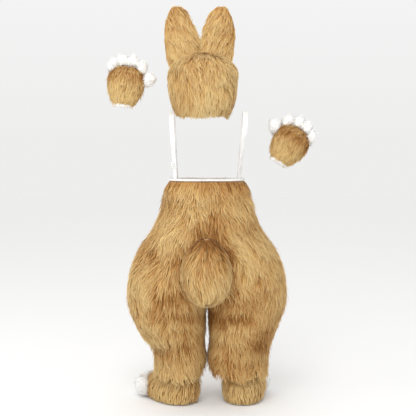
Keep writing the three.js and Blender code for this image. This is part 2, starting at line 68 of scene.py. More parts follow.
def as_mesh(name, shape):
    """Turns a bmesh into a mesh and lets the bmesh go."""
    mesh = bpy.data.meshes.new(name)
    shape.to_mesh(mesh)
    shape.free()
    return mesh


def finished_piece(name, shape, finish):
    """Turns a bmesh into a named piece that wears this finish."""
    mesh = as_mesh(name, shape)
    mesh.materials.append(finish)
    mesh.polygons.foreach_set("use_smooth", [True] * len(mesh.polygons))
    piece = bpy.data.objects.new(name, mesh)
    bpy.context.scene.collection.objects.link(piece)
    return piece


def shade(red, green, blue):
    """A colour as seen on a screen, 0 to 255, made ready for a shader."""
    parts = (red / 255, green / 255, blue / 255)
    return [c / 12.92 if c <= 0.04045 else ((c + 0.055) / 1.055) ** 2.4 for c in parts] + [1]


floor_paint = bpy.data.materials.new("floor_paint")
floor_paint.use_nodes = True
floor_nodes = floor_paint.node_tree.nodes
floor_nodes["Principled BSDF"].inputs["Base Color"].default_value = shade(*floor_grey)
floor_nodes["Principled BSDF"].inputs["Roughness"].default_value = floor_roughness
floor = finished_piece("floor", floor_mesh, floor_paint)

horizon_grey = (249, 249, 248)
horizon_fade = 0.15
sky_strength = 0.90
lights_aim = Vector((0, 0, -0.2))
studio = bpy.data.worlds.new("studio")
studio.use_nodes = True
studio_nodes, studio_links = studio.node_tree.nodes, studio.node_tree.links
direction = studio_nodes.new("ShaderNodeTexCoord")
height_of = studio_nodes.new("ShaderNodeSeparateXYZ")
backdrop = studio_nodes.new("ShaderNodeValToRGB")
studio_links.new(direction.outputs["Generated"], height_of.inputs["Vector"])
studio_links.new(height_of.outputs["Z"], backdrop.inputs["Fac"])
studio_links.new(backdrop.outputs["Color"], studio_nodes["Background"].inputs["Color"])
backdrop.color_ramp.elements[0].color = shade(*horizon_grey)
backdrop.color_ramp.elements[1].position = horizon_fade
studio_nodes["Background"].inputs["Strength"].default_value = sky_strength
bpy.context.scene.world = studio
for light_name, place, power, side_length in [
    ("high_light", (-0.6, -3.4, 3.2), 90, 2.4),
    ("left_light", (-3.2, -1.6, 1.2), 14, 1.8),
]:
    lamp = bpy.data.lights.new(light_name, "AREA")
    lamp.energy = power
    lamp.size = side_length
    light = bpy.data.objects.new(light_name, lamp)
    light.location = place
    light.rotation_euler = (lights_aim - light.location).to_track_quat("-Z", "Y").to_euler()
    bpy.context.scene.collection.objects.link(light)

# Trousers: four panels of long-pile faux fur, two behind and two in front, sewn at the sides,
# the centre and the inner legs. They bulge over the hips, gather under the seat and end in open hems.
# Heights are above the soles, and reaches are to the tips of the pile.
waist_height = 1.067
seam_gap = 0.0003
panel_columns = ("height", "left", "right", "inner", "back", "front")
panel_sections = [
    (0.162, 0.250, 0.288, 0.022, 0.128, 0.122),
    (0.212, 0.250, 0.291, 0.008, 0.126, 0.120),
    (0.262, 0.262, 0.297, 0.010, 0.129, 0.123),
    (0.292, 0.274, 0.303, 0.012, 0.135, 0.128),
    (0.318, 0.306, 0.316, 0.012, 0.146, 0.136),
    (0.362, 0.332, 0.332, 0.011, 0.158, 0.145),
    (0.400, 0.349, 0.348, 0.009, 0.168, 0.153),
    (0.450, 0.368, 0.366, 0.004, 0.177, 0.161),
    (0.512, 0.377, 0.375, -0.014, 0.184, 0.167),
    (0.587, 0.370, 0.369, -0.058, 0.187, 0.169),
    (0.663, 0.349, 0.352, -0.100, 0.183, 0.164),
    (0.738, 0.313, 0.317, -0.118, 0.173, 0.153),
    (0.813, 0.259, 0.263, -0.122, 0.158, 0.138),
    (0.888, 0.227, 0.230, -0.118, 0.144, 0.126),
    (0.963, 0.208, 0.210, -0.112, 0.133, 0.118),
    (1.030, 0.193, 0.191, -0.104, 0.123, 0.111),
    (1.058, 0.184, 0.181, -0.100, 0.115, 0.105),
]
# side and face: -1 left or back, 1 right or front. out: how far the fold stands out, below 0 for a trough.
fold_columns = ("side", "face", "x", "height", "run", "rise", "slope", "out")
folds = [
    (-1, -1, 0.160, 0.468, 0.120, 0.020, 0.05, -0.013),
    (1, -1, 0.120, 0.455, 0.095, 0.022, 0.12, -0.015),
    (-1, -1, 0.165, 0.560, 0.055, 0.024, -0.25, -0.013),
    (-1, -1, 0.105, 0.712, 0.045, 0.022, -0.45, -0.014),
    (1, -1, 0.125, 0.676, 0.050, 0.020, -0.70, -0.013),
    (1, -1, 0.225, 0.532, 0.035, 0.026, -0.90, -0.010),
    (-1, -1, 0.232, 0.752, 0.030, 0.026, 0.50, -0.009),
    (-1, -1, 0.200, 0.345, 0.130, 0.022, 0.00, 0.009),
    (-1, -1, 0.222, 0.278, 0.060, 0.017, 0.10, -0.010),
    (-1, -1, 0.110, 0.312, 0.060, 0.017, 0.10, -0.009),
    (1, -1, 0.220, 0.340, 0.060, 0.018, -0.35, -0.012),
    (1, -1, 0.240, 0.215, 0.050, 0.018, -0.30, -0.009),
    (-1, 1, 0.190, 0.455, 0.110, 0.024, 0.08, -0.013),
    (1, 1, 0.200, 0.470, 0.110, 0.022, -0.05, -0.013),
    (-1, 1, 0.110, 0.640, 0.070, 0.024, 0.40, -0.011),
    (1, 1, 0.130, 0.615, 0.070, 0.024, 0.35, -0.011),
    (-1, 1, 0.180, 0.300, 0.080, 0.020, 0.10, -0.010),
    (1, 1, 0.190, 0.315, 0.080, 0.020, -0.10, -0.010),
]


def columns_of(names, rows):
    """The columns of a table by name."""
    return {name: np.array(column, float) for name, column in zip(names, zip(*rows))}


def reach_at(table, key, at, column):
    """A smooth line through one column of a table of sections."""
    keys, values = table[key], table[column]
    low = np.clip(np.searchsorted(keys, at, side="right") - 1, 0, len(keys) - 2)
    high, before, after = low + 1, np.maximum(low - 1, 0), np.minimum(low + 2, len(keys) - 1)
    span = keys[high] - keys[low]
    t = np.clip((at - keys[low]) / span, 0, 1)
    slope_low = (values[high] - values[before]) / (keys[high] - keys[before]) * span
    slope_high = (values[after] - values[low]) / (keys[after] - keys[low]) * span
    rise = values[high] - values[low]
    bend = slope_low + slope_high - 2 * rise
    return values[low] + t * (slope_low + t * (rise - slope_low - bend + t * bend))


panel_table = columns_of(panel_columns, panel_sections)
fold_share = 0.75


def fold_out(side, face, x, height):
    """How far a panel's folds stand out at these places, below 0 in their troughs."""
    out = np.zeros_like(x)
    for fold in folds:
        row = dict(zip(fold_columns, fold))
        if row["side"] == side and row["face"] == face:
            across = (x - row["x"]) / row["run"]
            up = (height - row["height"] - row["slope"] * (x - row["x"])) / row["rise"]
            out = out + row["out"] * np.exp(-across ** 2 - up ** 2)
    return out


def trouser_place(side, face, t, height, inset):
    """Where a leg's cloth lies: t runs from the side seam round to the centre or inner leg seam."""
    outer = reach_at(panel_table, "height", height, "left" if side < 0 else "right")
    inner = reach_at(panel_table, "height", height, "inner")
    middle, half = (outer + inner) / 2, (outer - inner) / 2 - inset
    depth = reach_at(panel_table, "height", height, "back" if face < 0 else "front") - inset
    end = np.arccos(np.clip((middle - seam_gap / 2) / half, -1, 1))
    angle = np.pi + (end - np.pi) * t
    x, y = middle - half * np.cos(angle), depth * np.sin(angle)
    normal = np.stack([-np.cos(angle) / half, np.sin(angle) / depth])
    normal = normal / np.linalg.norm(normal, axis=0)
    out = fold_out(side, face, x, height) * np.sqrt(np.sin(angle).clip(0)) * fold_share
    x = np.maximum(x + normal[0] * out, seam_gap / 2)
    return np.stack([side * x, face * (y + normal[1] * out + seam_gap / 2), height - waist_height], axis=-1)


def cloth_grid(across, along, place):
    """A grid of cloth whose points lie where place(u, v) puts them, u and v from 0 to 1."""
    cloth = bmesh.new()
    bmesh.ops.create_grid(cloth, x_segments=across, y_segments=along, size=0.5)
    points = np.array([v.co for v in cloth.verts])
    for vertex, point in zip(cloth.verts, place(points[:, 0] + 0.5, points[:, 1] + 0.5)):
        vertex.co = point
    return cloth


def face_outwards(cloth, away_from):
    """Turns a sheet's faces so that they look away from a point."""
    cloth.normal_update()
    outwards = sum((f.calc_center_median() - Vector(away_from)).dot(f.normal) * f.calc_area()
                   for f in cloth.faces)
    if outwards < 0:
        bmesh.ops.reverse_faces(cloth, faces=cloth.faces)
    cloth.normal_update()


def thicken(piece, thickness):
    """Gives a sheet its thickness, inwards from the face that carries the pile."""
    wall = piece.modifiers.new("thickness", "SOLIDIFY")
    wall.thickness = thickness
    wall.offset = -1
    wall.use_even_offset = False


def add_node(tree, kind, settings=(), **inputs):
    """Adds a shader node with these settings, each input set to a value or joined to a socket."""
    node = tree.nodes.new(kind)
    for name, value in dict(settings).items():
        setattr(node, name, value)
    for name, value in inputs.items():
        socket = node.inputs[name.replace("_", " ")]
        if isinstance(value, bpy.types.NodeSocket):
            tree.links.new(value, socket)
        else:
            socket.default_value = value
    return node


def colour_ramp(tree, factor, stops):
    """A ramp of screen colours, each at its place from 0 to 1."""
    ramp = add_node(tree, "ShaderNodeValToRGB", Fac=factor)
    while len(ramp.color_ramp.elements) < len(stops):
        ramp.color_ramp.elements.new(0.5)
    for element, (place, colour) in zip(ramp.color_ramp.elements, stops):
        element.position = place
        element.color = shade(*colour)
    return ramp.outputs["Color"]


cloth_patches = {"scale": 14.0, "detail": 3.0, "from": 0.3, "to": 0.7}
weave_strength = 0.5


def cloth_finish(name, dark, pale, grain, roughness, weave_depth, sheen=0.2):
    """A matt cloth whose colour varies softly, with a fine knitted or woven relief of so many threads a
    metre, its grain."""
    finish = bpy.data.materials.new(name)
    finish.use_nodes = True
    tree = finish.node_tree
    skin = tree.nodes["Principled BSDF"]
    where = add_node(tree, "ShaderNodeTexCoord").outputs["Object"]
    patches = add_node(tree, "ShaderNodeTexNoise", Vector=where, Scale=cloth_patches["scale"],
                       Detail=cloth_patches["detail"])
    threads = add_node(tree, "ShaderNodeTexVoronoi", Vector=where, Scale=float(grain))
    stops = [(cloth_patches["from"], dark), (cloth_patches["to"], pale)]
    colour = colour_ramp(tree, patches.outputs["Fac"], stops)
    relief = add_node(tree, "ShaderNodeBump", Height=threads.outputs["Distance"], Strength=weave_strength,
                      Distance=weave_depth)
    tree.links.new(colour, skin.inputs["Base Color"])
    tree.links.new(relief.outputs["Normal"], skin.inputs["Normal"])
    skin.inputs["Roughness"].default_value = roughness
    skin.inputs["Sheen Weight"].default_value = sheen
    return finish


strand_scale = (240.0, 2.5, 1.0)
strand_shine = {"From_Min": 0.3, "From_Max": 0.7, "To_Min": 0.86, "To_Max": 1.1}
# How much darker the lowest tones are: brown partings, and painted shade where a piece paints its deepest
# shadows.
parting_and_shadow_dark = {"From_Max": 0.22, "To_Min": 0.6}
pile_roughness = 0.62
pile_gloss = 0.3
colour_sockets = {"a": 6, "b": 7, "result": 2}


def fur_finish(name, deep, plain, sheen=0.07):
    """Pile whose colour runs from root to tip. Each lock's own tone, from deep to plain, lies across its map,
    and the deepest locks are darker still: brown partings, and the painted shade that pieces give with their
    lowest tones."""
    finish = bpy.data.materials.new(name)
    finish.use_nodes = True
    tree = finish.node_tree
    skin = tree.nodes["Principled BSDF"]
    lock_map = add_node(tree, "ShaderNodeUVMap", {"uv_map": "OFBake"}).outputs["UV"]
    parts = add_node(tree, "ShaderNodeSeparateXYZ", Vector=lock_map)
    toned = add_node(tree, "ShaderNodeMix", {"data_type": "RGBA"})
    tree.links.new(parts.outputs["X"], toned.inputs["Factor"])
    tree.links.new(colour_ramp(tree, parts.outputs["Y"], deep), toned.inputs[colour_sockets["a"]])
    tree.links.new(colour_ramp(tree, parts.outputs["Y"], plain), toned.inputs[colour_sockets["b"]])
    strand_map = add_node(tree, "ShaderNodeMapping", Vector=lock_map, Scale=strand_scale)
    strands = add_node(tree, "ShaderNodeTexNoise", Vector=strand_map.outputs["Vector"], Scale=1.0, Detail=1.0)
    light = add_node(tree, "ShaderNodeMapRange", Value=strands.outputs["Fac"], **strand_shine)
    # the lowest tones darkened further: brown partings and painted shade
    parted_and_shaded = add_node(tree, "ShaderNodeMapRange", Value=parts.outputs["X"], **parting_and_shadow_dark)
    strand_light = add_node(tree, "ShaderNodeMath", {"operation": "MULTIPLY"})
    tree.links.new(light.outputs["Result"], strand_light.inputs[0])
    tree.links.new(parted_and_shaded.outputs["Result"], strand_light.inputs[1])
    streaked = add_node(tree, "ShaderNodeVectorMath", {"operation": "SCALE"},
                        Vector=toned.outputs[colour_sockets["result"]], Scale=strand_light.outputs["Value"])
    tree.links.new(streaked.outputs["Vector"], skin.inputs["Base Color"])
    skin.inputs["Roughness"].default_value = pile_roughness
    skin.inputs["Sheen Weight"].default_value = sheen
    skin.inputs["Specular IOR Level"].default_value = pile_gloss
    return finish


drift_waves = 7
drift_pace = (0.7, 1.6)
drift_peak = 3.2


def drift(points, size, seed):
    """A smooth wandering value from about -1 to 1 that changes over this many metres."""
    chance = np.random.default_rng(seed)
    value = np.zeros(len(points))
    for _ in range(drift_waves):
        wave = chance.normal(size=3)
        wave *= chance.uniform(*drift_pace) * np.pi / size / np.linalg.norm(wave)
        value += np.sin(points @ wave + chance.uniform(0, 2 * np.pi))
    return value / drift_peak


def unit(vectors):
    """Vectors made 1 long."""
    return vectors / np.maximum(np.linalg.norm(vectors, axis=1, keepdims=True), 1e-9)


cell_primes = (73856093, 19349663, 83492791)
spread_factors = (1103, 2741, 4421)
spread_shift = 12345
spread_range = 65521
seed_prime = 7919


def cell_number(x, y, z):
    """A whole number for each cell of a grid, mixed so that neighbours have nothing in common."""
    return (x * cell_primes[0]) ^ (y * cell_primes[1]) ^ (z * cell_primes[2])


def share_of(number, factor):
    """A cell's number made a share from 0 to 1."""
    return ((number * factor + spread_shift) % spread_range) / spread_range


def tuft_middles(points, size, seed):
    """The middle of the tuft that each root belongs to, and the tuft's own share from 0 to 1."""
    cell = np.floor(points / size).astype(np.int64)
    nearest = np.full(len(points), np.inf)
    middle, own = np.zeros_like(points), np.zeros(len(points))
    for step in np.ndindex(3, 3, 3):
        corner = cell + np.array(step) - 1
        number = cell_number(*corner.T) + seed * seed_prime
        jitter = np.stack([share_of(number, factor) for factor in spread_factors], axis=1)
        at = (corner + jitter) * size
        away = ((points - at) ** 2).sum(axis=1)
        closer = away < nearest
        nearest[closer], middle[closer], own[closer] = away[closer], at[closer], jitter[closer, 0]
    return middle, own


def surface_roots(guide, count, chance):
    """Roots spread evenly over a guide's faces and the surface's direction at each, with the guide's own
    points and triangles."""
    mesh = guide.data
    mesh.calc_loop_triangles()
    corners = np.empty(len(mesh.loop_triangles) * 3, int)
    mesh.loop_triangles.foreach_get("vertices", corners)
    corners = corners.reshape(-1, 3)
    places = np.empty(len(mesh.vertices) * 3)
    mesh.vertices.foreach_get("co", places)
    places = places.reshape(-1, 3)
    normals = np.array([v.normal for v in mesh.vertices])
    a, b, c = (places[corners[:, i]] for i in range(3))
    area = np.linalg.norm(np.cross(b - a, c - a), axis=1)
    ends = np.cumsum(area) / area.sum()
    spread = (np.arange(count) + chance.uniform(size=count)) / count
    pick = np.searchsorted(ends, spread).clip(0, len(ends) - 1)
    u, v = chance.uniform(size=(2, count))
    u, v = np.where(u + v > 1, 1 - u, u), np.where(u + v > 1, 1 - v, v)
    weights = np.stack([1 - u - v, u, v], axis=1)[:, :, None]
    roots = (places[corners[pick]] * weights).sum(axis=1)
    return roots, unit((normals[corners[pick]] * weights).sum(axis=1)), places, corners


streak_patch = 0.14
streak_width = 0.008
streak_run = 0.075
stagger_steps = 97


def streak_tones(roots, normals, comb, seed):
    """A tone from 0 to 1 for each root, shared by the roots of one narrow streak along the pile."""
    middle, own = tuft_middles(roots, streak_patch, seed)
    patch = np.unique(own, return_inverse=True)[1]
    mean = np.zeros((patch.max() + 1, 3))
    np.add.at(mean, patch, comb)
    along = unit(mean)[patch]
    across = unit(np.cross(normals, along))
    column = np.floor(((roots - middle) * across).sum(axis=1) / streak_width).astype(np.int64)
    stagger = (column * seed_prime % stagger_steps) / stagger_steps
    row = np.floor(((roots - middle) * along).sum(axis=1) / streak_run + stagger).astype(np.int64)
    return share_of(cell_number(column, row, patch.astype(np.int64)), spread_factors[0])


lock_thickness = 0.7
lock_map_half = 0.012


def lock_width(s):
    """A lock's width at this share of its length, widest a third of the way up."""
    return 0.75 + 0.9 * s * (1 - s) - 0.25 * s


def lock_mesh(line, steps, across, normals, broad, shades, roundness):
    """Tapered three-sided locks along these centre lines: their points, triangles, map and soft normals."""
    count = len(broad)
    verts, soft = [], []
    for s, centre in zip(steps[:-1], line[:-1]):
        half = (broad * lock_width(s) / 2)[:, None]
        verts += [centre - across * half, centre + across * half, centre + normals * half * lock_thickness]
        soft += [normals - across * roundness, normals + across * roundness, normals]
    verts.append(line[-1])
    soft.append(normals)
    per = len(verts)
    points, soft = np.stack(verts, axis=1), np.stack(soft, axis=1)
    faces, maps, underside = [(0, 2, 1)], [((-1, 0.0), (0, 0.03), (1, 0.0))], [False]
    sides = ((0, 1, -1, 1), (1, 2, 1, 0), (2, 0, 0, -1))
    for r in range(len(steps) - 2):
        low, high = r * 3, r * 3 + 3
        for i, j, left, right in sides:
            faces += [(low + i, low + j, high + j), (low + i, high + j, high + i)]
            maps += [((left, steps[r]), (right, steps[r]), (right, steps[r + 1])),
                     ((left, steps[r]), (right, steps[r + 1]), (left, steps[r + 1]))]
            underside += [i == 0, i == 0]
    last = (len(steps) - 2) * 3
    for i, j, left, right in sides:
        faces.append((last + i, last + j, per - 1))
        maps.append(((left, steps[-2]), (right, steps[-2]), ((left + right) / 2, 1.0)))
        underside.append(i == 0)
    faces, maps = np.array(faces), np.array(maps)
    soft = np.where(np.array(underside)[None, :, None, None], -normals[:, None, None, :], soft[:, faces])
    index = (np.arange(count)[:, None, None] * per + faces[None]).reshape(-1, 3)
    u = shades[:, None, None] + lock_map_half * maps[None, :, :, 0]
    v = np.broadcast_to(maps[None, :, :, 1], u.shape)
    return points.reshape(-1, 3), index, np.stack([u, v], axis=-1).reshape(-1, 2), unit(soft.reshape(-1, 3))


pile_over_floor = 0.004
coat_columns = ("locks", "length", "width", "middle", "tip", "bends", "tone")
lock_turn = {"drift": 1.3, "over": 0.10, "own": 0.45}
lock_reach = {"usual": 0.85, "drift": 0.2, "over": 0.09, "own": 0.3}
lock_lift = {"tuft": 0.25, "streak": 0.15, "own": 0.2}
lock_shade = {"usual": 0.56, "tuft": 0.12, "drift": 0.16, "over": 0.16, "own": 0.08, "parting": 0.10}
shade_ends = (0.03, 0.97)
width_share = (0.7, 1.35)
hang_share = (0.5, 1.2)
tip_gather = 0.3
tip_curve = 1.5
root_depth = 0.0015
widest_parting = 1.3


def laid_pile(ground, aim, normals, height, overhang):
    """Points of the pile laid over the cloth at this height. Those past the cloth's edge hang no further
    from it than their overhang, and none goes below the floor."""
    found = [ground.find_nearest(point)[:2] for point in aim]
    on = np.array([place for place, _ in found])
    up = unit(np.array([direction for _, direction in found]) * 0.5 + normals * 0.5)
    beyond = aim - on
    beyond -= up * (beyond * up).sum(axis=1, keepdims=True)
    past = np.linalg.norm(beyond, axis=1, keepdims=True)
    beyond *= np.minimum(1, overhang[:, None] / np.maximum(past, 1e-9))
    laid = on + beyond + up * height[:, None]
    laid[:, 2] = laid[:, 2].clip(floor_height + pile_over_floor)
    return laid


def pile_mesh(name, locks, finish):
    """One joined mesh of all the locks, whose map holds each lock's tone across and its length up."""
    starts = np.cumsum([0] + [len(points) for points, _, _, _ in locks])
    triangles = np.concatenate([index + start for (_, index, _, _), start in zip(locks, starts)])
    points, maps, soft = (np.concatenate([lock[part] for lock in locks]) for part in (0, 2, 3))
    mesh = bpy.data.meshes.new(name)
    mesh.vertices.add(len(points))
    mesh.vertices.foreach_set("co", points.ravel())
    mesh.loops.add(triangles.size)
    mesh.loops.foreach_set("vertex_index", triangles.ravel())
    mesh.polygons.add(len(triangles))
    mesh.polygons.foreach_set("loop_start", np.arange(0, triangles.size, 3))
    mesh.polygons.foreach_set("loop_total", np.full(len(triangles), 3))
    mesh.update(calc_edges=True)
    mesh.polygons.foreach_set("use_smooth", np.ones(len(triangles), bool))
    mesh.uv_layers.new(name="OFBake").data.foreach_set("uv", maps.ravel())
    mesh.normals_split_custom_set(soft)
    mesh.materials.append(finish)
    return mesh


def grow_fur(name, guide, finish, coats, flow, seed, tone=None, puff=None,
             tuft=0.036, wander=0.2, overhang=0.012, contrast=0.42, roundness=0.5):
    """Covers a guide with coats of locks, one joined mesh. A coat's middle and tip are how high its locks lie
    there. flow(roots, normals) says which way the locks lie, tone(roots) how much paler they are, and
    puff(roots) how much further their tips stand off where the pile hangs free. tuft is how wide a tuft is,
    wander how far a lock may turn from the flow, overhang how far the pile may hang past the cloth's edge,
    contrast how much the streaks differ, and roundness how round a lock is shaded."""
    locks, ground = [], None
    for number, row in enumerate(coats):
        coat = dict(zip(coat_columns, row))
        count = coat["locks"]
        chance = np.random.default_rng(seed * 10 + number)
        roots, normals, places, corners = surface_roots(guide, count, chance)
        if ground is None:
            ground = BVHTree.FromPolygons(places.tolist(), corners.tolist())
        middle, own = tuft_middles(roots, tuft, seed)
        comb = flow(roots, normals)
        comb = unit(comb - normals * (comb * normals).sum(axis=1, keepdims=True))
        across = np.cross(normals, comb)
        turn = lock_turn["drift"] * drift(roots, lock_turn["over"], seed + 1) + (own * 2 - 1)
        turn = wander * (turn + lock_turn["own"] * chance.normal(size=count))
        streaky = streak_tones(roots, normals, comb, seed)
        comb = comb * np.cos(turn)[:, None] + across * np.sin(turn)[:, None]
        across = np.cross(normals, comb)
        reach = lock_reach["usual"] + lock_reach["drift"] * drift(roots, lock_reach["over"], seed + 2)
        reach = coat["length"] * (reach + lock_reach["own"] * chance.uniform(-1, 1, count))
        sideways = ((middle - roots) * across).sum(axis=1)
        lift = 1 + lock_lift["tuft"] * (2 * own - 1) + lock_lift["streak"] * (2 * streaky - 1)
        lift = lift + lock_lift["own"] * chance.uniform(-1, 1, count)
        hang = 0 if puff is None else puff(roots) * chance.uniform(*hang_share, count)
        steps = [i / (coat["bends"] + 1) for i in range(coat["bends"] + 2)]
        line = []
        for s in steps:
            gathered = sideways * tip_gather * s ** tip_curve
            aim = roots + comb * (reach * s)[:, None] + across * gathered[:, None]
            rise = coat["middle"] * min(s / 0.5, 1) + (coat["tip"] - coat["middle"]) * max(s - 0.5, 0) / 0.5
            height = lift * rise + hang * s ** tip_curve - (root_depth if s == 0 else 0)
            line.append(laid_pile(ground, aim, normals, height, overhang * (0.5 + own) * (0.4 + 0.6 * s)))
        parting = (np.abs(sideways) / (0.5 * tuft)).clip(0, widest_parting) ** 2
        shades = lock_shade["usual"] + coat["tone"] + contrast * (streaky - 0.5)
        shades = shades + lock_shade["tuft"] * (own - 0.5)
        shades = shades + lock_shade["drift"] * drift(roots, lock_shade["over"], seed + 3)
        shades += lock_shade["own"] * chance.normal(size=count) - lock_shade["parting"] * parting
        if tone is not None:
            shades += tone(roots)
        broad = coat["width"] * chance.uniform(*width_share, count)
        locks.append(lock_mesh(line, steps, across, normals, broad, shades.clip(*shade_ends), roundness))
    fur = bpy.data.objects.new(name, pile_mesh(name, locks, finish))
    bpy.context.scene.collection.objects.link(fur)
    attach(fur, "root")
    return fur


tan_backing = cloth_finish("tan_backing", (168, 126, 74), (196, 156, 100), 420, 0.9, 0.0012)
tan_fur = fur_finish(
    "tan_fur",
    deep=[(0.0, (144, 82, 24)), (0.35, (160, 96, 28)), (1.0, (188, 126, 46))],
    plain=[(0.0, (206, 158, 86)), (0.3, (224, 185, 113)), (1.0, (234, 210, 154))],
)

flow_step = 0.01
flow_ends = (-0.5, 1.2)
flow_share = 0.75


def trouser_flow(side):
    """Pile that falls straight, and spreads or draws in where the leg widens or narrows below it."""
    def flow(roots, normals):
        height = roots[:, 2] + waist_height
        name = "left" if side < 0 else "right"
        outer = reach_at(panel_table, "height", height, name)
        widening = (reach_at(panel_table, "height", height - flow_step, name) - outer) / flow_step
        sideways = roots[:, 0] / outer * widening.clip(*flow_ends) * flow_share
        return np.stack([sideways, np.zeros(len(roots)), -np.ones(len(roots))], axis=1)
    return flow


# Spots on the back panels: darker below 0, paler above 0. The dark ones are partly brown roots where the pile
# parts and partly painted shade in the creases, round the tail's neck and under the thighs.
shade_columns = ("side", "x", "height", "run", "rise", "tone")
root_shadow_pale_spots = [
    (-1, 0.015, 0.835, 0.050, 0.070, -0.36),
    (1, 0.025, 0.840, 0.055, 0.075, -0.40),
    (1, 0.016, 0.880, 0.022, 0.012, -0.25),
    (1, 0.030, 0.925, 0.045, 0.022, -0.28),
    (-1, 0.000, 0.772, 0.060, 0.016, -0.50),
    (1, 0.000, 0.772, 0.060, 0.018, -0.55),
    (-1, 0.232, 0.757, 0.022, 0.030, -0.30),
    (-1, 0.105, 0.716, 0.035, 0.022, -0.35),
    (-1, 0.180, 0.560, 0.055, 0.032, -0.28),
    (1, 0.150, 0.530, 0.070, 0.038, -0.25),
    (1, 0.100, 0.458, 0.085, 0.024, -0.40),
    (-1, 0.080, 0.472, 0.060, 0.020, -0.20),
    (-1, 0.215, 0.288, 0.060, 0.022, -0.20),
    (1, 0.230, 0.345, 0.050, 0.030, -0.20),
    (-1, 0.040, 0.880, 0.030, 0.030, -0.25),
    (-1, 0.090, 0.770, 0.030, 0.016, -0.30),
    (1, 0.085, 0.735, 0.022, 0.060, -0.30),
    (-1, 0.290, 0.700, 0.022, 0.040, -0.22),
    (-1, 0.250, 0.500, 0.060, 0.016, -0.20),
    (1, 0.250, 0.600, 0.016, 0.060, -0.18),
    (1, 0.160, 0.980, 0.045, 0.040, 0.28),
    (1, 0.130, 0.790, 0.085, 0.055, 0.22),
    (1, 0.215, 0.665, 0.075, 0.050, 0.20),
    (-1, 0.160, 0.840, 0.070, 0.055, 0.20),
    (-1, 0.300, 0.570, 0.055, 0.090, 0.18),
    (-1, 0.060, 1.000, 0.060, 0.030, 0.12),
]
spot_strength = 1.3
leg_bands = {"below": 0.50, "fade": 0.05, "apart": 0.068, "wander": 1.6, "over": 0.15, "tone": 0.15}
leg_tones = {"both": 0.02, "right": 0.08}
waist_tone = {"from": 0.93, "over": 0.05, "tone": 0.17}
# Painted shade: between the legs, in a ring round the tail where it shades the panels, and in the folds'
# troughs.
inner_leg_shadow = {"run": 0.035, "below": 0.457, "tone": 0.2}
tail_rim_shadow = {"half": 0.120, "z": -0.425, "up": 0.155, "width": 0.14, "both": 0.6, "right": 0.4, "tone": 0.55}
trough_roots_and_shadow = 26


def spots_at(side, x, height):
    """The tones of the spots at these places on a back panel."""
    tone = np.zeros_like(x)
    for spot in root_shadow_pale_spots:
        row = dict(zip(shade_columns, spot))
        if row["side"] == side:
            away = ((x - row["x"]) / row["run"]) ** 2 + ((height - row["height"]) / row["rise"]) ** 2
            tone += spot_strength * row["tone"] * np.exp(-away)
    return tone


def trouser_tone(side, face):
    """Browner in the folds' troughs, at the inner leg and in a ring round the tail, strongest on its right:
    painted shade in these creases and hollows, and in the troughs the brown roots that show there as well.
    Browner also below the waist, with soft bands across the lower legs."""
    def tone(roots):
        x, height = np.abs(roots[:, 0]), roots[:, 2] + waist_height
        # painted shade in the folds' troughs, with the brown roots that show there
        trough = fold_out(side, face, x, height).clip(-1, 0) * trough_roots_and_shadow
        # painted shade between the legs, below the crotch
        inner = np.exp(-((x / inner_leg_shadow["run"]) ** 2)) * (height < inner_leg_shadow["below"])
        low = ((leg_bands["below"] - height) / leg_bands["fade"]).clip(0, 1)
        wave = leg_bands["wander"] * drift(roots, leg_bands["over"], 5 + side)
        bands = np.sin(2 * np.pi * height / leg_bands["apart"] + wave) * low * leg_bands["tone"]
        bands = bands - (leg_tones["both"] + leg_tones["right"] * side) * low
        # the back panels' spots: brown roots and painted shade where dark, paler where above 0
        spots = spots_at(side, x, height) if face < 0 else 0
        # painted shadow of the tail on the back panels, in a ring round its outline, strongest on its right
        across, up = roots[:, 0] / tail_rim_shadow["half"], (roots[:, 2] - tail_rim_shadow["z"]) / tail_rim_shadow["up"]
        tail_shadow = np.exp(-(((np.hypot(across, up) - 1) / tail_rim_shadow["width"]) ** 2)) * (face < 0)
        tail_shadow = tail_shadow * (tail_rim_shadow["both"] + tail_rim_shadow["right"] * np.sign(across))
        high = ((height - waist_tone["from"]) / waist_tone["over"]).clip(0, 1)
        browner = waist_tone["tone"] * high + inner_leg_shadow["tone"] * inner + tail_rim_shadow["tone"] * tail_shadow
        return trough + spots + bands - browner
    return tone


knee_puff = {"height": 0.335, "rise": 0.022, "outside": 0.20, "out": 0.010}
calf_puff = {"height": 0.235, "rise": 0.045, "inside": 0.06, "over": 0.03, "out": 0.014}
usual_puff = 0.003


def hem_puff(roots):
    """The pile stands off where the thigh bulges over the knee, and fills the gap between the calves."""
    height, x = roots[:, 2] + waist_height, np.abs(roots[:, 0])
    knee = np.exp(-(((height - knee_puff["height"]) / knee_puff["rise"]) ** 2)) * (x > knee_puff["outside"])
    calf = np.exp(-(((height - calf_puff["height"]) / calf_puff["rise"]) ** 2))
    calf = calf * ((calf_puff["inside"] - x) / calf_puff["over"]).clip(0, 1)
    return usual_puff + knee_puff["out"] * knee + calf_puff["out"] * calf


panel_steps = (22, 46)
backing_inset = 0.009
backing_thickness = 0.0022
hem_height = 0.162
panel_length = 0.896
leg_middle = (0.17, 0, -0.5)
panel_faces = [("back", -1, (6000, 5600, 600), 0.50), ("front", 1, (2500, 2000, 200), 0.49)]


def panel_place(side, face):
    """Where a panel's backing lies, across it and up from its hem."""
    return lambda t, v: trouser_place(side, face, t, hem_height + panel_length * v, backing_inset)


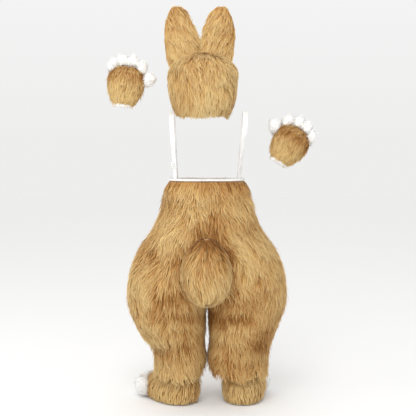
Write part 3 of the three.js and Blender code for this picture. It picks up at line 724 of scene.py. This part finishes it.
for side_name, side in (("left", -1), ("right", 1)):
    for face_name, face, locks, mean_arc in panel_faces:
        name = f"trousers_{face_name}_{side_name}"
        panel_cloth = cloth_grid(*panel_steps, panel_place(side, face))
        face_outwards(panel_cloth, (side * leg_middle[0], *leg_middle[1:]))
        panel = finished_piece(name + "_cloth", panel_cloth, tan_backing)
        coats = [
            (locks[0], 0.055, 0.0055, 0.005, 0.0065, 1, -0.12),
            (locks[1], 0.085, 0.0036, 0.0085, 0.0105, 2, 0.1),
            (locks[2], 0.07, 0.0024, 0.012, 0.021, 2, 0.25),
        ]
        pile = grow_fur(name + "_pile", panel, tan_fur, coats, trouser_flow(side),
                        seed=40 + 2 * side + face, tone=trouser_tone(side, face), puff=hem_puff,
                        wander=0.3, overhang=0.042, contrast=0.28)
        thicken(panel, backing_thickness)
        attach(panel, "root")
        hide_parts(name)

# Waist binding: a woven white tape folded over the top edge of the four panels and stitched along its
# lower edge. It stands up from the cloth's edge and is drawn in along its middle.
tape_cloth = cloth_finish("white_tape", (226, 225, 222), (250, 249, 247), 900, 0.8, 0.0006, sheen=0.1)
binding_steps = (160, 4)
binding_height = 0.009
binding_thickness = 0.0022
binding_inset = {"usual": 0.0022, "middle": 0.0012}
binding_join = 5e-4
waist_edge = 1.058
waist_quarters = ((-1, -1), (-1, 1), (1, 1), (1, -1))


def waist_place(turn, height, inset):
    """Points round the waist, over its four panels in turn from the centre back."""
    quarter = np.minimum(np.floor(turn * 4), 3)
    t = turn * 4 - quarter
    along = np.where(quarter % 2 == 0, 1 - t, t)
    points = np.empty((len(turn), 3))
    for number, (side, face) in enumerate(waist_quarters):
        pick = quarter == number
        points[pick] = trouser_place(side, face, along[pick], np.full(pick.sum(), waist_edge), inset[pick])
    points[:, 2] = height - waist_height
    return points


def binding_place(turn, v):
    """Where the binding lies, once round the waist and up from its lower edge."""
    inset = binding_inset["usual"] + binding_inset["middle"] * np.cos(2 * np.pi * (v - 0.5))
    return waist_place(turn, waist_edge + seam_gap + (binding_height - seam_gap) * v, inset)


binding_cloth = cloth_grid(*binding_steps, binding_place)
bmesh.ops.remove_doubles(binding_cloth, verts=binding_cloth.verts, dist=binding_join)
face_outwards(binding_cloth, (0, 0, 0))
binding = finished_piece("waist_tape", binding_cloth, tape_cloth)
thicken(binding, binding_thickness)
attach(binding, "root")
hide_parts("waist_binding")

# Shoulder tapes: two lengths of white ribbed elastic, sewn inside the waist behind and in front,
# each with a moulded slider that sets its length.
tape_edge = 0.0006
tape_edge_angle = 50
merge_distance = 1e-5
flat_angle = 1
slider_plastic = cloth_finish("white_plastic", (232, 232, 230), (244, 244, 242), 60, 0.38, 0.0001, sheen=0.0)


def solid_copy(node):
    """A copy of a solid with its triangles joined, to be given a finer form."""
    form = bmesh.new()
    form.from_mesh(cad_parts[node].data)
    bmesh.ops.remove_doubles(form, verts=form.verts, dist=merge_distance)
    bmesh.ops.dissolve_limit(form, angle_limit=math.radians(flat_angle), verts=form.verts, edges=form.edges)
    return form


def round_edges(form, width, sharper_than):
    """Rounds the edges of a form that are sharper than this many degrees."""
    form.normal_update()
    sharp = [e for e in form.edges if e.calc_face_angle(0) > math.radians(sharper_than)]
    bmesh.ops.bevel(form, geom=sharp, offset=width, offset_type="OFFSET", segments=2, profile=0.5,
                    affect="EDGES", material=-1)
    bmesh.ops.triangulate(form, faces=[f for f in form.faces if len(f.verts) > 4])


for side_name in ("left", "right"):
    tape_form = solid_copy(f"strap_{side_name}")
    round_edges(tape_form, tape_edge, tape_edge_angle)
    tape = finished_piece(f"shoulder_tape_{side_name}", tape_form, tape_cloth)
    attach(tape, "root")
    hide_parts(f"strap_{side_name}")
    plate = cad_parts[f"slider_{side_name}"]
    for slot_number in range(len(plate.material_slots)):
        plate.material_slots[slot_number].material = slider_plastic

# Tail: a firm round ball of fibre filling in a fur cover, sewn over the centre back seam.
# Its pile is combed down from the neck of the tail and is paler at the tips.
tail_shrink = 0.012
tail_comb = (-0.002, -0.14, -0.17)
# painted shade round the tail's neck
tail_neck_shadow = {"z": -0.276, "run": 0.020, "tone": 0.45}
tail_partings = {"at": ((-0.082, -0.475), (-0.036, -0.470)), "run": 0.012, "rise": 0.024, "tone": 0.4}
tail_tone_usual = 0.02
tail_coats = [
    (1700, 0.05, 0.0058, 0.006, 0.008, 1, -0.12),
    (1800, 0.075, 0.0038, 0.010, 0.014, 2, 0.1),
    (150, 0.06, 0.0024, 0.012, 0.022, 2, 0.25),
]


def stuffed_core(name, node, shrink, finish, smoothing=2):
    """The filled cover of a padded piece: its solid's form, drawn in by shrink to leave room for its pile."""
    core = bmesh.new()
    core.from_mesh(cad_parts[node].data)
    bmesh.ops.remove_doubles(core, verts=core.verts, dist=merge_distance)
    bmesh.ops.subdivide_edges(core, edges=core.edges, cuts=1, use_grid_fill=True)
    for _ in range(smoothing):
        bmesh.ops.smooth_vert(core, verts=core.verts, factor=0.5, use_axis_x=True, use_axis_y=True,
                              use_axis_z=True)
    core.normal_update()
    for vertex in core.verts:
        vertex.co -= vertex.normal * shrink
    core.normal_update()
    return finished_piece(name, core, finish)


def combed_from(point, towards=(0, 0, 0)):
    """Pile that spreads from a point and leans in a direction."""
    return lambda roots, normals: unit(roots - np.array(point)) + np.array(towards, float)


def tail_tone(roots):
    """Painted shade round the tail's neck, where it meets the trousers, and two small brown partings low on
    its left.
    """
    # painted shade where the tail's neck meets the trousers
    neck = np.exp(-(((roots[:, 2] - tail_neck_shadow["z"]).clip(-1, 0) / tail_neck_shadow["run"]) ** 2))
    partings = sum(np.exp(-(((roots[:, 0] - x) / tail_partings["run"]) ** 2)
                          - ((roots[:, 2] - z) / tail_partings["rise"]) ** 2) for x, z in tail_partings["at"])
    return tail_tone_usual - tail_neck_shadow["tone"] * neck - tail_partings["tone"] * partings


tail_core = stuffed_core("tail_filling", "tail", tail_shrink, tan_backing)
grow_fur("tail_pile", tail_core, tan_fur, tail_coats, combed_from(tail_comb, (0, 0, -0.6)),
         seed=61, tone=tail_tone, tuft=0.03)
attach(tail_core, "root")
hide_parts("tail")

# Head: a foam-backed hood in two halves, joined over the ears, with long fur combed down from the crown.
# It is open below for the neck, and its fringe is longer behind than under the face.
head_form = {"x": -0.019, "y": 0.008, "z": 1.546 - waist_height,
             "half": 0.163, "back": 0.158, "front": 0.150, "up": 0.108, "down": 0.214}
head_powers = (1.9, 2.6)
head_steps = (48, 30)
head_wall = {"top": 0.042, "bottom": 0.014, "over": 0.9}
hood_hem = 1.379 - waist_height
hood_inset = 0.010
face_seam = 0.006
crown_source = (-0.019, 0.012, 0.72)
crown_shade = {"height": 1.640 - waist_height, "rise": 0.030, "tone": 0.06, "usual": 0.04}
hood_hang = {"from": 0.43, "over": 0.11, "out": 0.013}
hood_halves = [("back", 1, (3000, 3300), 0.022), ("face", -1, (1600, 1400), 0.010)]
sorted_along = Vector((1, 17, 311))


def round_place(form, powers, points, draw):
    """Points of a round form whose upper and lower halves have powers of their own, moved out by draw."""
    height = points[:, 2].clip(-1, 1)
    ring = np.sqrt((1 - height ** 2).clip(0))
    turn = np.arctan2(points[:, 1], points[:, 0])
    power = np.where(height > 0, powers[0], powers[1])
    reach, rise = ring ** (2 / power), np.sign(height) * np.abs(height) ** (2 / power)
    depth = np.where(np.sin(turn) < 0, form["back"], form["front"])
    return np.stack([
        form["x"] + (form["half"] + draw) * reach * np.cos(turn),
        form["y"] + (depth + draw) * reach * np.sin(turn),
        form["z"] + np.where(height > 0, form["up"] + draw, form["down"]) * rise,
    ], axis=-1)


def round_form(form, powers, steps, draw):
    """A ball brought to a round form, with draw a size or a function of the height."""
    ball = bmesh.new()
    bmesh.ops.create_uvsphere(ball, u_segments=steps[0], v_segments=steps[1], radius=1)
    points = np.array([v.co for v in ball.verts])
    drawn = draw(points[:, 2]) if callable(draw) else np.full(len(points), draw)
    for vertex, point in zip(ball.verts, round_place(form, powers, points, drawn)):
        vertex.co = point
    ball.normal_update()
    return ball


def cut_away(shape, place, direction):
    """Cuts a shape with a plane and drops what lies on the side that the direction points to. What is left
    is sorted by place, because a cut leaves its points and faces in no fixed order."""
    everything = [*shape.verts, *shape.edges, *shape.faces]
    bmesh.ops.bisect_plane(shape, geom=everything, plane_co=place, plane_no=direction, clear_outer=True,
                           dist=1e-6)
    shape.verts.sort(key=lambda vertex: vertex.co.dot(sorted_along))
    shape.faces.sort(key=lambda face: face.calc_center_median().dot(sorted_along))


def lining_draw(height):
    """The lining lies inside the hood, further in where the foam is thicker towards the crown."""
    t = ((height + 1) / head_wall["over"]).clip(0, 1)
    return -(head_wall["bottom"] + (head_wall["top"] - head_wall["bottom"]) * t * t * (3 - 2 * t))


def half_hood(direction, draw):
    """One half of the hood's form, open at the neck and at the seam over the ears."""
    half = round_form(head_form, head_powers, head_steps, draw)
    cut_away(half, (0, 0, hood_hem), (0, 0, -1))
    cut_away(half, (0, face_seam - direction * seam_gap / 2, 0), (0, direction, 0))
    return half


def head_tone(roots):
    """Paler pile over the crown."""
    crown = np.exp(-(((roots[:, 2] - crown_shade["height"]) / crown_shade["rise"]) ** 2))
    return crown_shade["tone"] * crown + crown_shade["usual"]


def hood_puff(roots):
    """Below its widest part the hood's long pile hangs straight down instead of following the cloth in."""
    return hood_hang["out"] * ((hood_hang["from"] - roots[:, 2]) / hood_hang["over"]).clip(0, 1)


hood_backing = cloth_finish("hood_lining", (158, 120, 74), (186, 148, 96), 500, 0.9, 0.001)
for half_name, direction, locks, fringe in hood_halves:
    guide_mesh = as_mesh("guide", half_hood(direction, -hood_inset))
    lining = half_hood(direction, lining_draw)
    bmesh.ops.reverse_faces(lining, faces=lining.faces)
    lining_mesh = as_mesh("lining", lining)
    hood = bmesh.new()
    hood.from_mesh(guide_mesh)
    hood.from_mesh(lining_mesh)
    bmesh.ops.bridge_loops(hood, edges=[e for e in hood.edges if e.is_boundary])
    bmesh.ops.recalc_face_normals(hood, faces=hood.faces)
    guide = bpy.data.objects.new("guide", guide_mesh)
    shell = finished_piece(f"head_{half_name}_shell", hood, hood_backing)
    coats = [
        (locks[0], 0.05, 0.0052, 0.006, 0.008, 1, -0.12),
        (locks[1], 0.075, 0.0034, 0.0095, 0.012, 2, 0.1),
    ]
    grow_fur(f"head_{half_name}_pile", guide, tan_fur, coats,
             combed_from(crown_source, (0, 0, -0.35)), seed=71 + direction,
             tone=head_tone, puff=hood_puff, tuft=0.03, overhang=fringe)
    bpy.data.objects.remove(guide)
    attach(shell, "root")
    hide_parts(f"head_{half_name}")

# Ears: two tall panels each, sewn together round the edge over a stiff leaf of foam and cupped forwards,
# long fur behind and short cream plush in front.
ear_base, ear_tip = 1.588 - waist_height, 1.872 - waist_height
ear_base_y, ear_tip_y, ear_cup = 0.022, 0.034, 0.026
ear_widest, ear_full_half, ear_edge_share = 0.085, 0.060, 0.22
ear_table = columns_of(("v", "half"), [
    (0, 0.072), (0.2, 0.080), (0.38, 0.085), (0.58, 0.082),
    (0.72, 0.071), (0.85, 0.053), (0.94, 0.035), (1, 0.014),
])
ear_steps = (16, 26)
ear_span = {"left": 0.06, "across": 0.88, "foot": 0.01, "up": 0.965}
ear_lift = {"back": -0.021, "front": 0.010}
ear_thickness = 0.002
ear_tone = {"both": 0.06, "right": 0.08}
ear_lean = 0.55
ear_back_coats = [(1100, 0.04, 0.0054, 0.005, 0.0065, 1, -0.12), (1150, 0.065, 0.0036, 0.008, 0.011, 2, 0.1)]
ear_front_coats = [(900, 0.018, 0.005, 0.003, 0.004, 1, 0.0)]
cream_plush = cloth_finish("cream_plush", (222, 198, 160), (240, 222, 190), 300, 0.95, 0.0015, sheen=0.5)
cream_fur = fur_finish(
    "cream_fur",
    deep=[(0.0, (170, 140, 104)), (0.5, (222, 198, 160)), (1.0, (246, 230, 202))],
    plain=[(0.0, (200, 172, 136)), (0.5, (244, 226, 196)), (1.0, (254, 246, 228))],
)


def ear_place(base_x, tip_x, u, v, lift):
    """Where an ear's cloth lies, across it and up from its base, lifted off its middle leaf."""
    across = 2 * u - 1
    half = reach_at(ear_table, "v", v, "half")
    crown = np.sqrt((1 - across ** 2).clip(0)) * np.minimum(1, half / ear_full_half)
    x = base_x + (tip_x - base_x) * v + half * across
    y = ear_base_y + (ear_tip_y - ear_base_y) * v + ear_cup * across ** 2 * half / ear_widest
    y = y + lift * (ear_edge_share + (1 - ear_edge_share) * crown)
    return np.stack([x, y, ear_base + (ear_tip - ear_base) * v], axis=-1)


def ear_cloth(base_x, tip_x, lift):
    """One panel of an ear, a little inside its edges."""
    def place(u, v):
        across = ear_span["left"] + ear_span["across"] * u
        return ear_place(base_x, tip_x, across, ear_span["foot"] + ear_span["up"] * v, lift)
    return cloth_grid(*ear_steps, place)


def combed_along(direction):
    """Pile that all leans one way."""
    return lambda roots, normals: np.tile(np.array(direction, float), (len(roots), 1))


for side_name, side, base_x, tip_x in (("left", -1, -0.108, -0.141), ("right", 1, 0.047, 0.067)):
    back_cloth = ear_cloth(base_x, tip_x, ear_lift["back"])
    face_outwards(back_cloth, (base_x, 0.3, 0.65))
    ear_back = finished_piece(f"ear_back_{side_name}_cloth", back_cloth, tan_backing)
    back_pile = grow_fur(f"ear_back_{side_name}_pile", ear_back, tan_fur, ear_back_coats,
                         combed_along((-ear_lean * side, 0, -1)), seed=80 + side, tuft=0.026, overhang=0.014,
                         tone=lambda roots, side=side: ear_tone["right"] * side + ear_tone["both"])
    thicken(ear_back, ear_thickness)
    front_cloth = ear_cloth(base_x, tip_x, ear_lift["front"])
    face_outwards(front_cloth, (base_x, -0.3, 0.65))
    ear_front = finished_piece(f"ear_front_{side_name}_cloth", front_cloth, cream_plush)
    front_pile = grow_fur(f"ear_front_{side_name}_pile", ear_front, cream_fur,
                          ear_front_coats, combed_from((base_x, 0, 0.4)), seed=90 + side, tuft=0.02)
    thicken(ear_front, ear_thickness)
    for ear_panel, face_name, slot_name, pile in (
        (ear_back, "back", "tan_fur", back_pile),
        (ear_front, "front", "cream_plush", front_pile),
    ):
        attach(ear_panel, "root")
        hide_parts(f"ear_{face_name}_{side_name}")

# Face: a stuffed white muzzle, a nose of stuffed pink felt and two eyes of dark mesh over a cushion.
# All are sewn to the front of the hood, as on a plain toy rabbit.
white_plush = cloth_finish("white_plush", (240, 238, 232), (250, 249, 246), 360, 0.95, 0.0008, sheen=0.4)
white_fur = fur_finish(
    "white_fur",
    deep=[(0.0, (246, 243, 237)), (0.5, (251, 249, 245)), (1.0, (254, 253, 251))],
    plain=[(0.0, (250, 248, 243)), (0.5, (253, 252, 249)), (1.0, (255, 255, 254))],
    sheen=0.5,
)
fluff_shrink = 0.001
stray_length = 1.3


def stuffed_tip(node, locks, length, spread_from, seed):
    """A stuffed white piece with its fluff, which spreads from a point and has a few longer stray locks."""
    core = stuffed_core(f"{node}_filling", node, fluff_shrink, white_plush)
    coats = [
        (locks * 4 // 5, length, 0.0095, 0.006, 0.008, 1, 0.2),
        (locks // 5, length * stray_length, 0.004, 0.009, 0.016, 1, 0.25),
    ]
    grow_fur(f"{node}_pile", core, white_fur, coats, combed_from(spread_from), seed,
             tuft=0.018, wander=0.25, contrast=0.1, roundness=0.2, overhang=0.02)
    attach(core, "root")
    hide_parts(node)


stuffed_tip("muzzle", locks=1000, length=0.022, spread_from=(-0.019, 0.30, 0.40), seed=101)
pink_felt = cloth_finish("pink_felt", (188, 124, 118), (206, 146, 140), 900, 0.95, 0.0005, sheen=0.4)
nose_core = stuffed_core("nose_filling", "nose", 0, pink_felt, smoothing=1)
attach(nose_core, "root")
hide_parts("nose")
dark_mesh = cloth_finish("dark_mesh", (20, 18, 17), (34, 31, 29), 700, 0.6, 0.0008, sheen=0.1)
for side_name in ("left", "right"):
    lens = stuffed_core(f"eye_mesh_{side_name}", f"eye_{side_name}", 0, dark_mesh, smoothing=1)
    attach(lens, "root")
    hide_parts(f"eye_{side_name}")

# Paws: mittens of tan fur cut in a back and a palm, with four fingers and a thumb sewn on, each a stuffed
# white ball. A ribbed white elastic cuff is sewn round each wrist.
hands = {
    "left": (-0.391, 0.0, 1.414 - waist_height, 8, 1),
    "right": (0.341, 0.0, 1.150 - waist_height, 31, -1),
}
mitt_form = {"x": 0, "y": 0, "z": 0.105,
             "half": 0.086, "back": 0.052, "front": 0.046, "up": 0.076, "down": 0.121}
mitt_powers = (2.3, 2)
mitt_steps = (32, 20)
mitt_inset = 0.004
mitt_thickness = 0.002
mitt_halves = [("back", 1, 2100), ("palm", -1, 1000)]
cuff_size = {"half": 0.045, "depth": 0.031, "height": 0.016, "thickness": 0.0035}
cuff_rib = {"count": 40, "depth": 0.0003, "edge": 0.0012}
cuff_steps = (64, 6)
knuckle_shade = {"curve": 2.6, "arc": 0.148, "run": 0.027, "tone": 0.42}
# painted shade in a short crease across the hand
hand_crease_shadow = {"height": 0.088, "rise": 0.007, "run": 0.022, "tone": 0.5}
wrist_shade = {"from": 0.115, "over": 0.03, "tone": 0.2, "usual": 0.06}
digits = ("finger_1", "finger_2", "finger_3", "finger_4", "thumb")
digit_middle = 0.11


def cuff_place(turn, v):
    """Where a cuff lies, once round the wrist and down from the mitten."""
    angle = turn * 2 * np.pi
    rolled = cuff_rib["depth"] * (np.cos(cuff_rib["count"] * angle) - 1) - cuff_rib["edge"] * (2 * v - 1) ** 4
    across = (cuff_size["half"] + rolled) * np.cos(angle)
    deep = (cuff_size["depth"] + rolled) * np.sin(angle)
    return np.stack([across, deep, -seam_gap - cuff_size["height"] * v], axis=-1)


def paw_tone(to_hand):
    """Browner fur over the knuckles, painted shade in one short crease across the hand and paler fur near the
    wrist.
    """
    from_hand = np.array(to_hand.inverted())

    def tone(roots):
        place = roots @ from_hand[:3, :3].T + from_hand[:3, 3]
        arc = place[:, 2] + knuckle_shade["curve"] * place[:, 0] ** 2
        knuckles = np.exp(-(((arc - knuckle_shade["arc"]) / knuckle_shade["run"]) ** 2))
        # painted shade of the crease across the hand
        low = ((place[:, 2] - hand_crease_shadow["height"]) / hand_crease_shadow["rise"]) ** 2
        crease = np.exp(-low - (place[:, 0] / hand_crease_shadow["run"]) ** 2)
        wrist = ((wrist_shade["from"] - arc) / wrist_shade["over"]).clip(0, 1)
        paler = wrist_shade["usual"] + wrist_shade["tone"] * wrist
        return paler - knuckle_shade["tone"] * knuckles - hand_crease_shadow["tone"] * crease
    return tone


for side_name, (x, y, z, tilt, thumb_side) in hands.items():
    to_hand = Matrix.Translation((x, y, z)) @ Matrix.Rotation(math.radians(tilt), 4, "Y")
    along_hand = to_hand.to_3x3() @ Vector((0, 0, 1))
    for half_name, direction, locks in mitt_halves:
        mitt = round_form(mitt_form, mitt_powers, mitt_steps, -mitt_inset)
        cut_away(mitt, (0, 0, 0), (0, 0, -1))
        cut_away(mitt, (0, -direction * seam_gap / 2, 0), (0, direction, 0))
        bmesh.ops.transform(mitt, matrix=to_hand, verts=mitt.verts)
        shell = finished_piece(f"paw_{half_name}_{side_name}_cloth", mitt, tan_backing)
        coats = [
            (locks // 2, 0.026, 0.0046, 0.004, 0.005, 1, -0.12),
            (locks // 3, 0.04, 0.0034, 0.006, 0.009, 2, 0.1),
            (locks // 12, 0.04, 0.0024, 0.009, 0.018, 2, 0.2),
        ]
        pile = grow_fur(f"paw_{half_name}_{side_name}_pile", shell, tan_fur, coats,
                        combed_along(-along_hand), seed=110 + direction + 4 * thumb_side,
                        tone=paw_tone(to_hand), tuft=0.02, overhang=0.010)
        thicken(shell, mitt_thickness)
        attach(shell, "root")
        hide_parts(f"paw_{half_name}_{side_name}")
    band = cloth_grid(*cuff_steps, cuff_place)
    bmesh.ops.remove_doubles(band, verts=band.verts, dist=merge_distance)
    bmesh.ops.transform(band, matrix=to_hand, verts=band.verts)
    face_outwards(band, to_hand @ Vector((0, 0, -cuff_size["height"] / 2)))
    cuff = finished_piece(f"cuff_{side_name}_band", band, tape_cloth)
    thicken(cuff, cuff_size["thickness"])
    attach(cuff, "root")
    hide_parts(f"cuff_{side_name}")
    centre = tuple(to_hand @ Vector((0, 0, digit_middle)))
    for number, digit in enumerate(digits):
        stuffed_tip(f"{digit}_{side_name}", locks=510, length=0.024, spread_from=centre,
                    seed=120 + number + 10 * thumb_side)

# Feet: a padded upper of tan fur on a flat grey sole, with four stuffed white toes sewn to its front.
# The open top of the upper reaches up inside the trousers' hem.
foot_table = columns_of(("z", "heel", "toe", "half"), [
    (0.0143, 0.098, 0.178, 0.084),
    (0.045, 0.112, 0.190, 0.095),
    (0.080, 0.113, 0.178, 0.095),
    (0.110, 0.103, 0.140, 0.087),
    (0.136, 0.086, 0.098, 0.076),
    (0.178, 0.080, 0.082, 0.072),
])
feet = {"left": (-0.1436, 0.0, 50, 0.10, 10), "right": (0.176, 0.008, -14, 0.16, 0)}
foot_steps = (44, 14)
foot_inset = 0.006
foot_bottom, foot_rise = 0.0143, 0.1637
foot_thickness = 0.002
foot_middle = -1.0
foot_coats = [(1100, 0.036, 0.0055, 0.006, 0.009, 1, -0.12), (1200, 0.06, 0.0036, 0.010, 0.015, 2, 0.1)]
ankle = {"from": 0.09, "over": 0.05, "out": 0.010}
# painted shade in the rim where the toes are sewn on
toe_rim_shadow = {"forward": 0.125, "run": 0.022, "tone": 0.45}
toe_middle = (0, 0.10, 0.05)
sole_edge, sole_edge_angle = 0.0015, 40
grey_sole = cloth_finish("grey_sole", (128, 118, 106), (152, 142, 130), 240, 0.9, 0.002)


def foot_place(turn, z):
    """Where an upper's cloth lies, once round the foot and up from the sole."""
    angle = turn * 2 * np.pi
    toe, heel = reach_at(foot_table, "z", z, "toe"), reach_at(foot_table, "z", z, "heel")
    reach = np.where(np.cos(angle) > 0, toe, heel) - foot_inset
    half = reach_at(foot_table, "z", z, "half") - foot_inset
    return np.stack([half * np.sin(angle), reach * np.cos(angle), z], axis=-1)


def ankle_puff(roots):
    """The foot's pile stands out under the trousers' hem, so that the two run into one another."""
    return ankle["out"] * ((roots[:, 2] + waist_height - ankle["from"]) / ankle["over"]).clip(0, 1)


def foot_tone(to_foot, usual):
    """Darker in a rim where the toes are sewn on: painted shade between the upper and the toes."""
    from_foot = np.array(to_foot.inverted())

    def tone(roots):
        forward = roots @ from_foot[1, :3] + from_foot[1, 3]
        # painted shade between the upper and the toes
        return usual - toe_rim_shadow["tone"] * np.exp(-(((forward - toe_rim_shadow["forward"]) / toe_rim_shadow["run"]) ** 2))
    return tone


for side_name, (x, y, turn, usual_tone, seed_step) in feet.items():
    to_foot = Matrix.Translation((x, y, -waist_height)) @ Matrix.Rotation(math.radians(turn), 4, "Z")
    upper = cloth_grid(*foot_steps, lambda u, v: foot_place(u, foot_bottom + foot_rise * v))
    bmesh.ops.remove_doubles(upper, verts=upper.verts, dist=merge_distance)
    bmesh.ops.transform(upper, matrix=to_foot, verts=upper.verts)
    face_outwards(upper, (x, y, foot_middle))
    foot = finished_piece(f"foot_upper_{side_name}_cloth", upper, tan_backing)
    pile = grow_fur(f"foot_upper_{side_name}_pile", foot, tan_fur, foot_coats,
                    combed_along((0, 0, -1)), seed=150 + turn, tone=foot_tone(to_foot, usual_tone),
                    puff=ankle_puff, tuft=0.024, overhang=0.006, contrast=0.26)
    thicken(foot, foot_thickness)
    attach(foot, "root")
    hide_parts(f"foot_upper_{side_name}")
    sole_form = solid_copy(f"foot_sole_{side_name}")
    round_edges(sole_form, sole_edge, sole_edge_angle)
    sole = finished_piece(f"foot_sole_{side_name}_cover", sole_form, grey_sole)
    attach(sole, "root")
    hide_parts(f"foot_sole_{side_name}")
    centre = tuple(to_foot @ Vector(toe_middle))
    for number in range(4):
        stuffed_tip(f"toe_{number + 1}_{side_name}", locks=400, length=0.024, spread_from=centre,
                    seed=160 + number + seed_step)
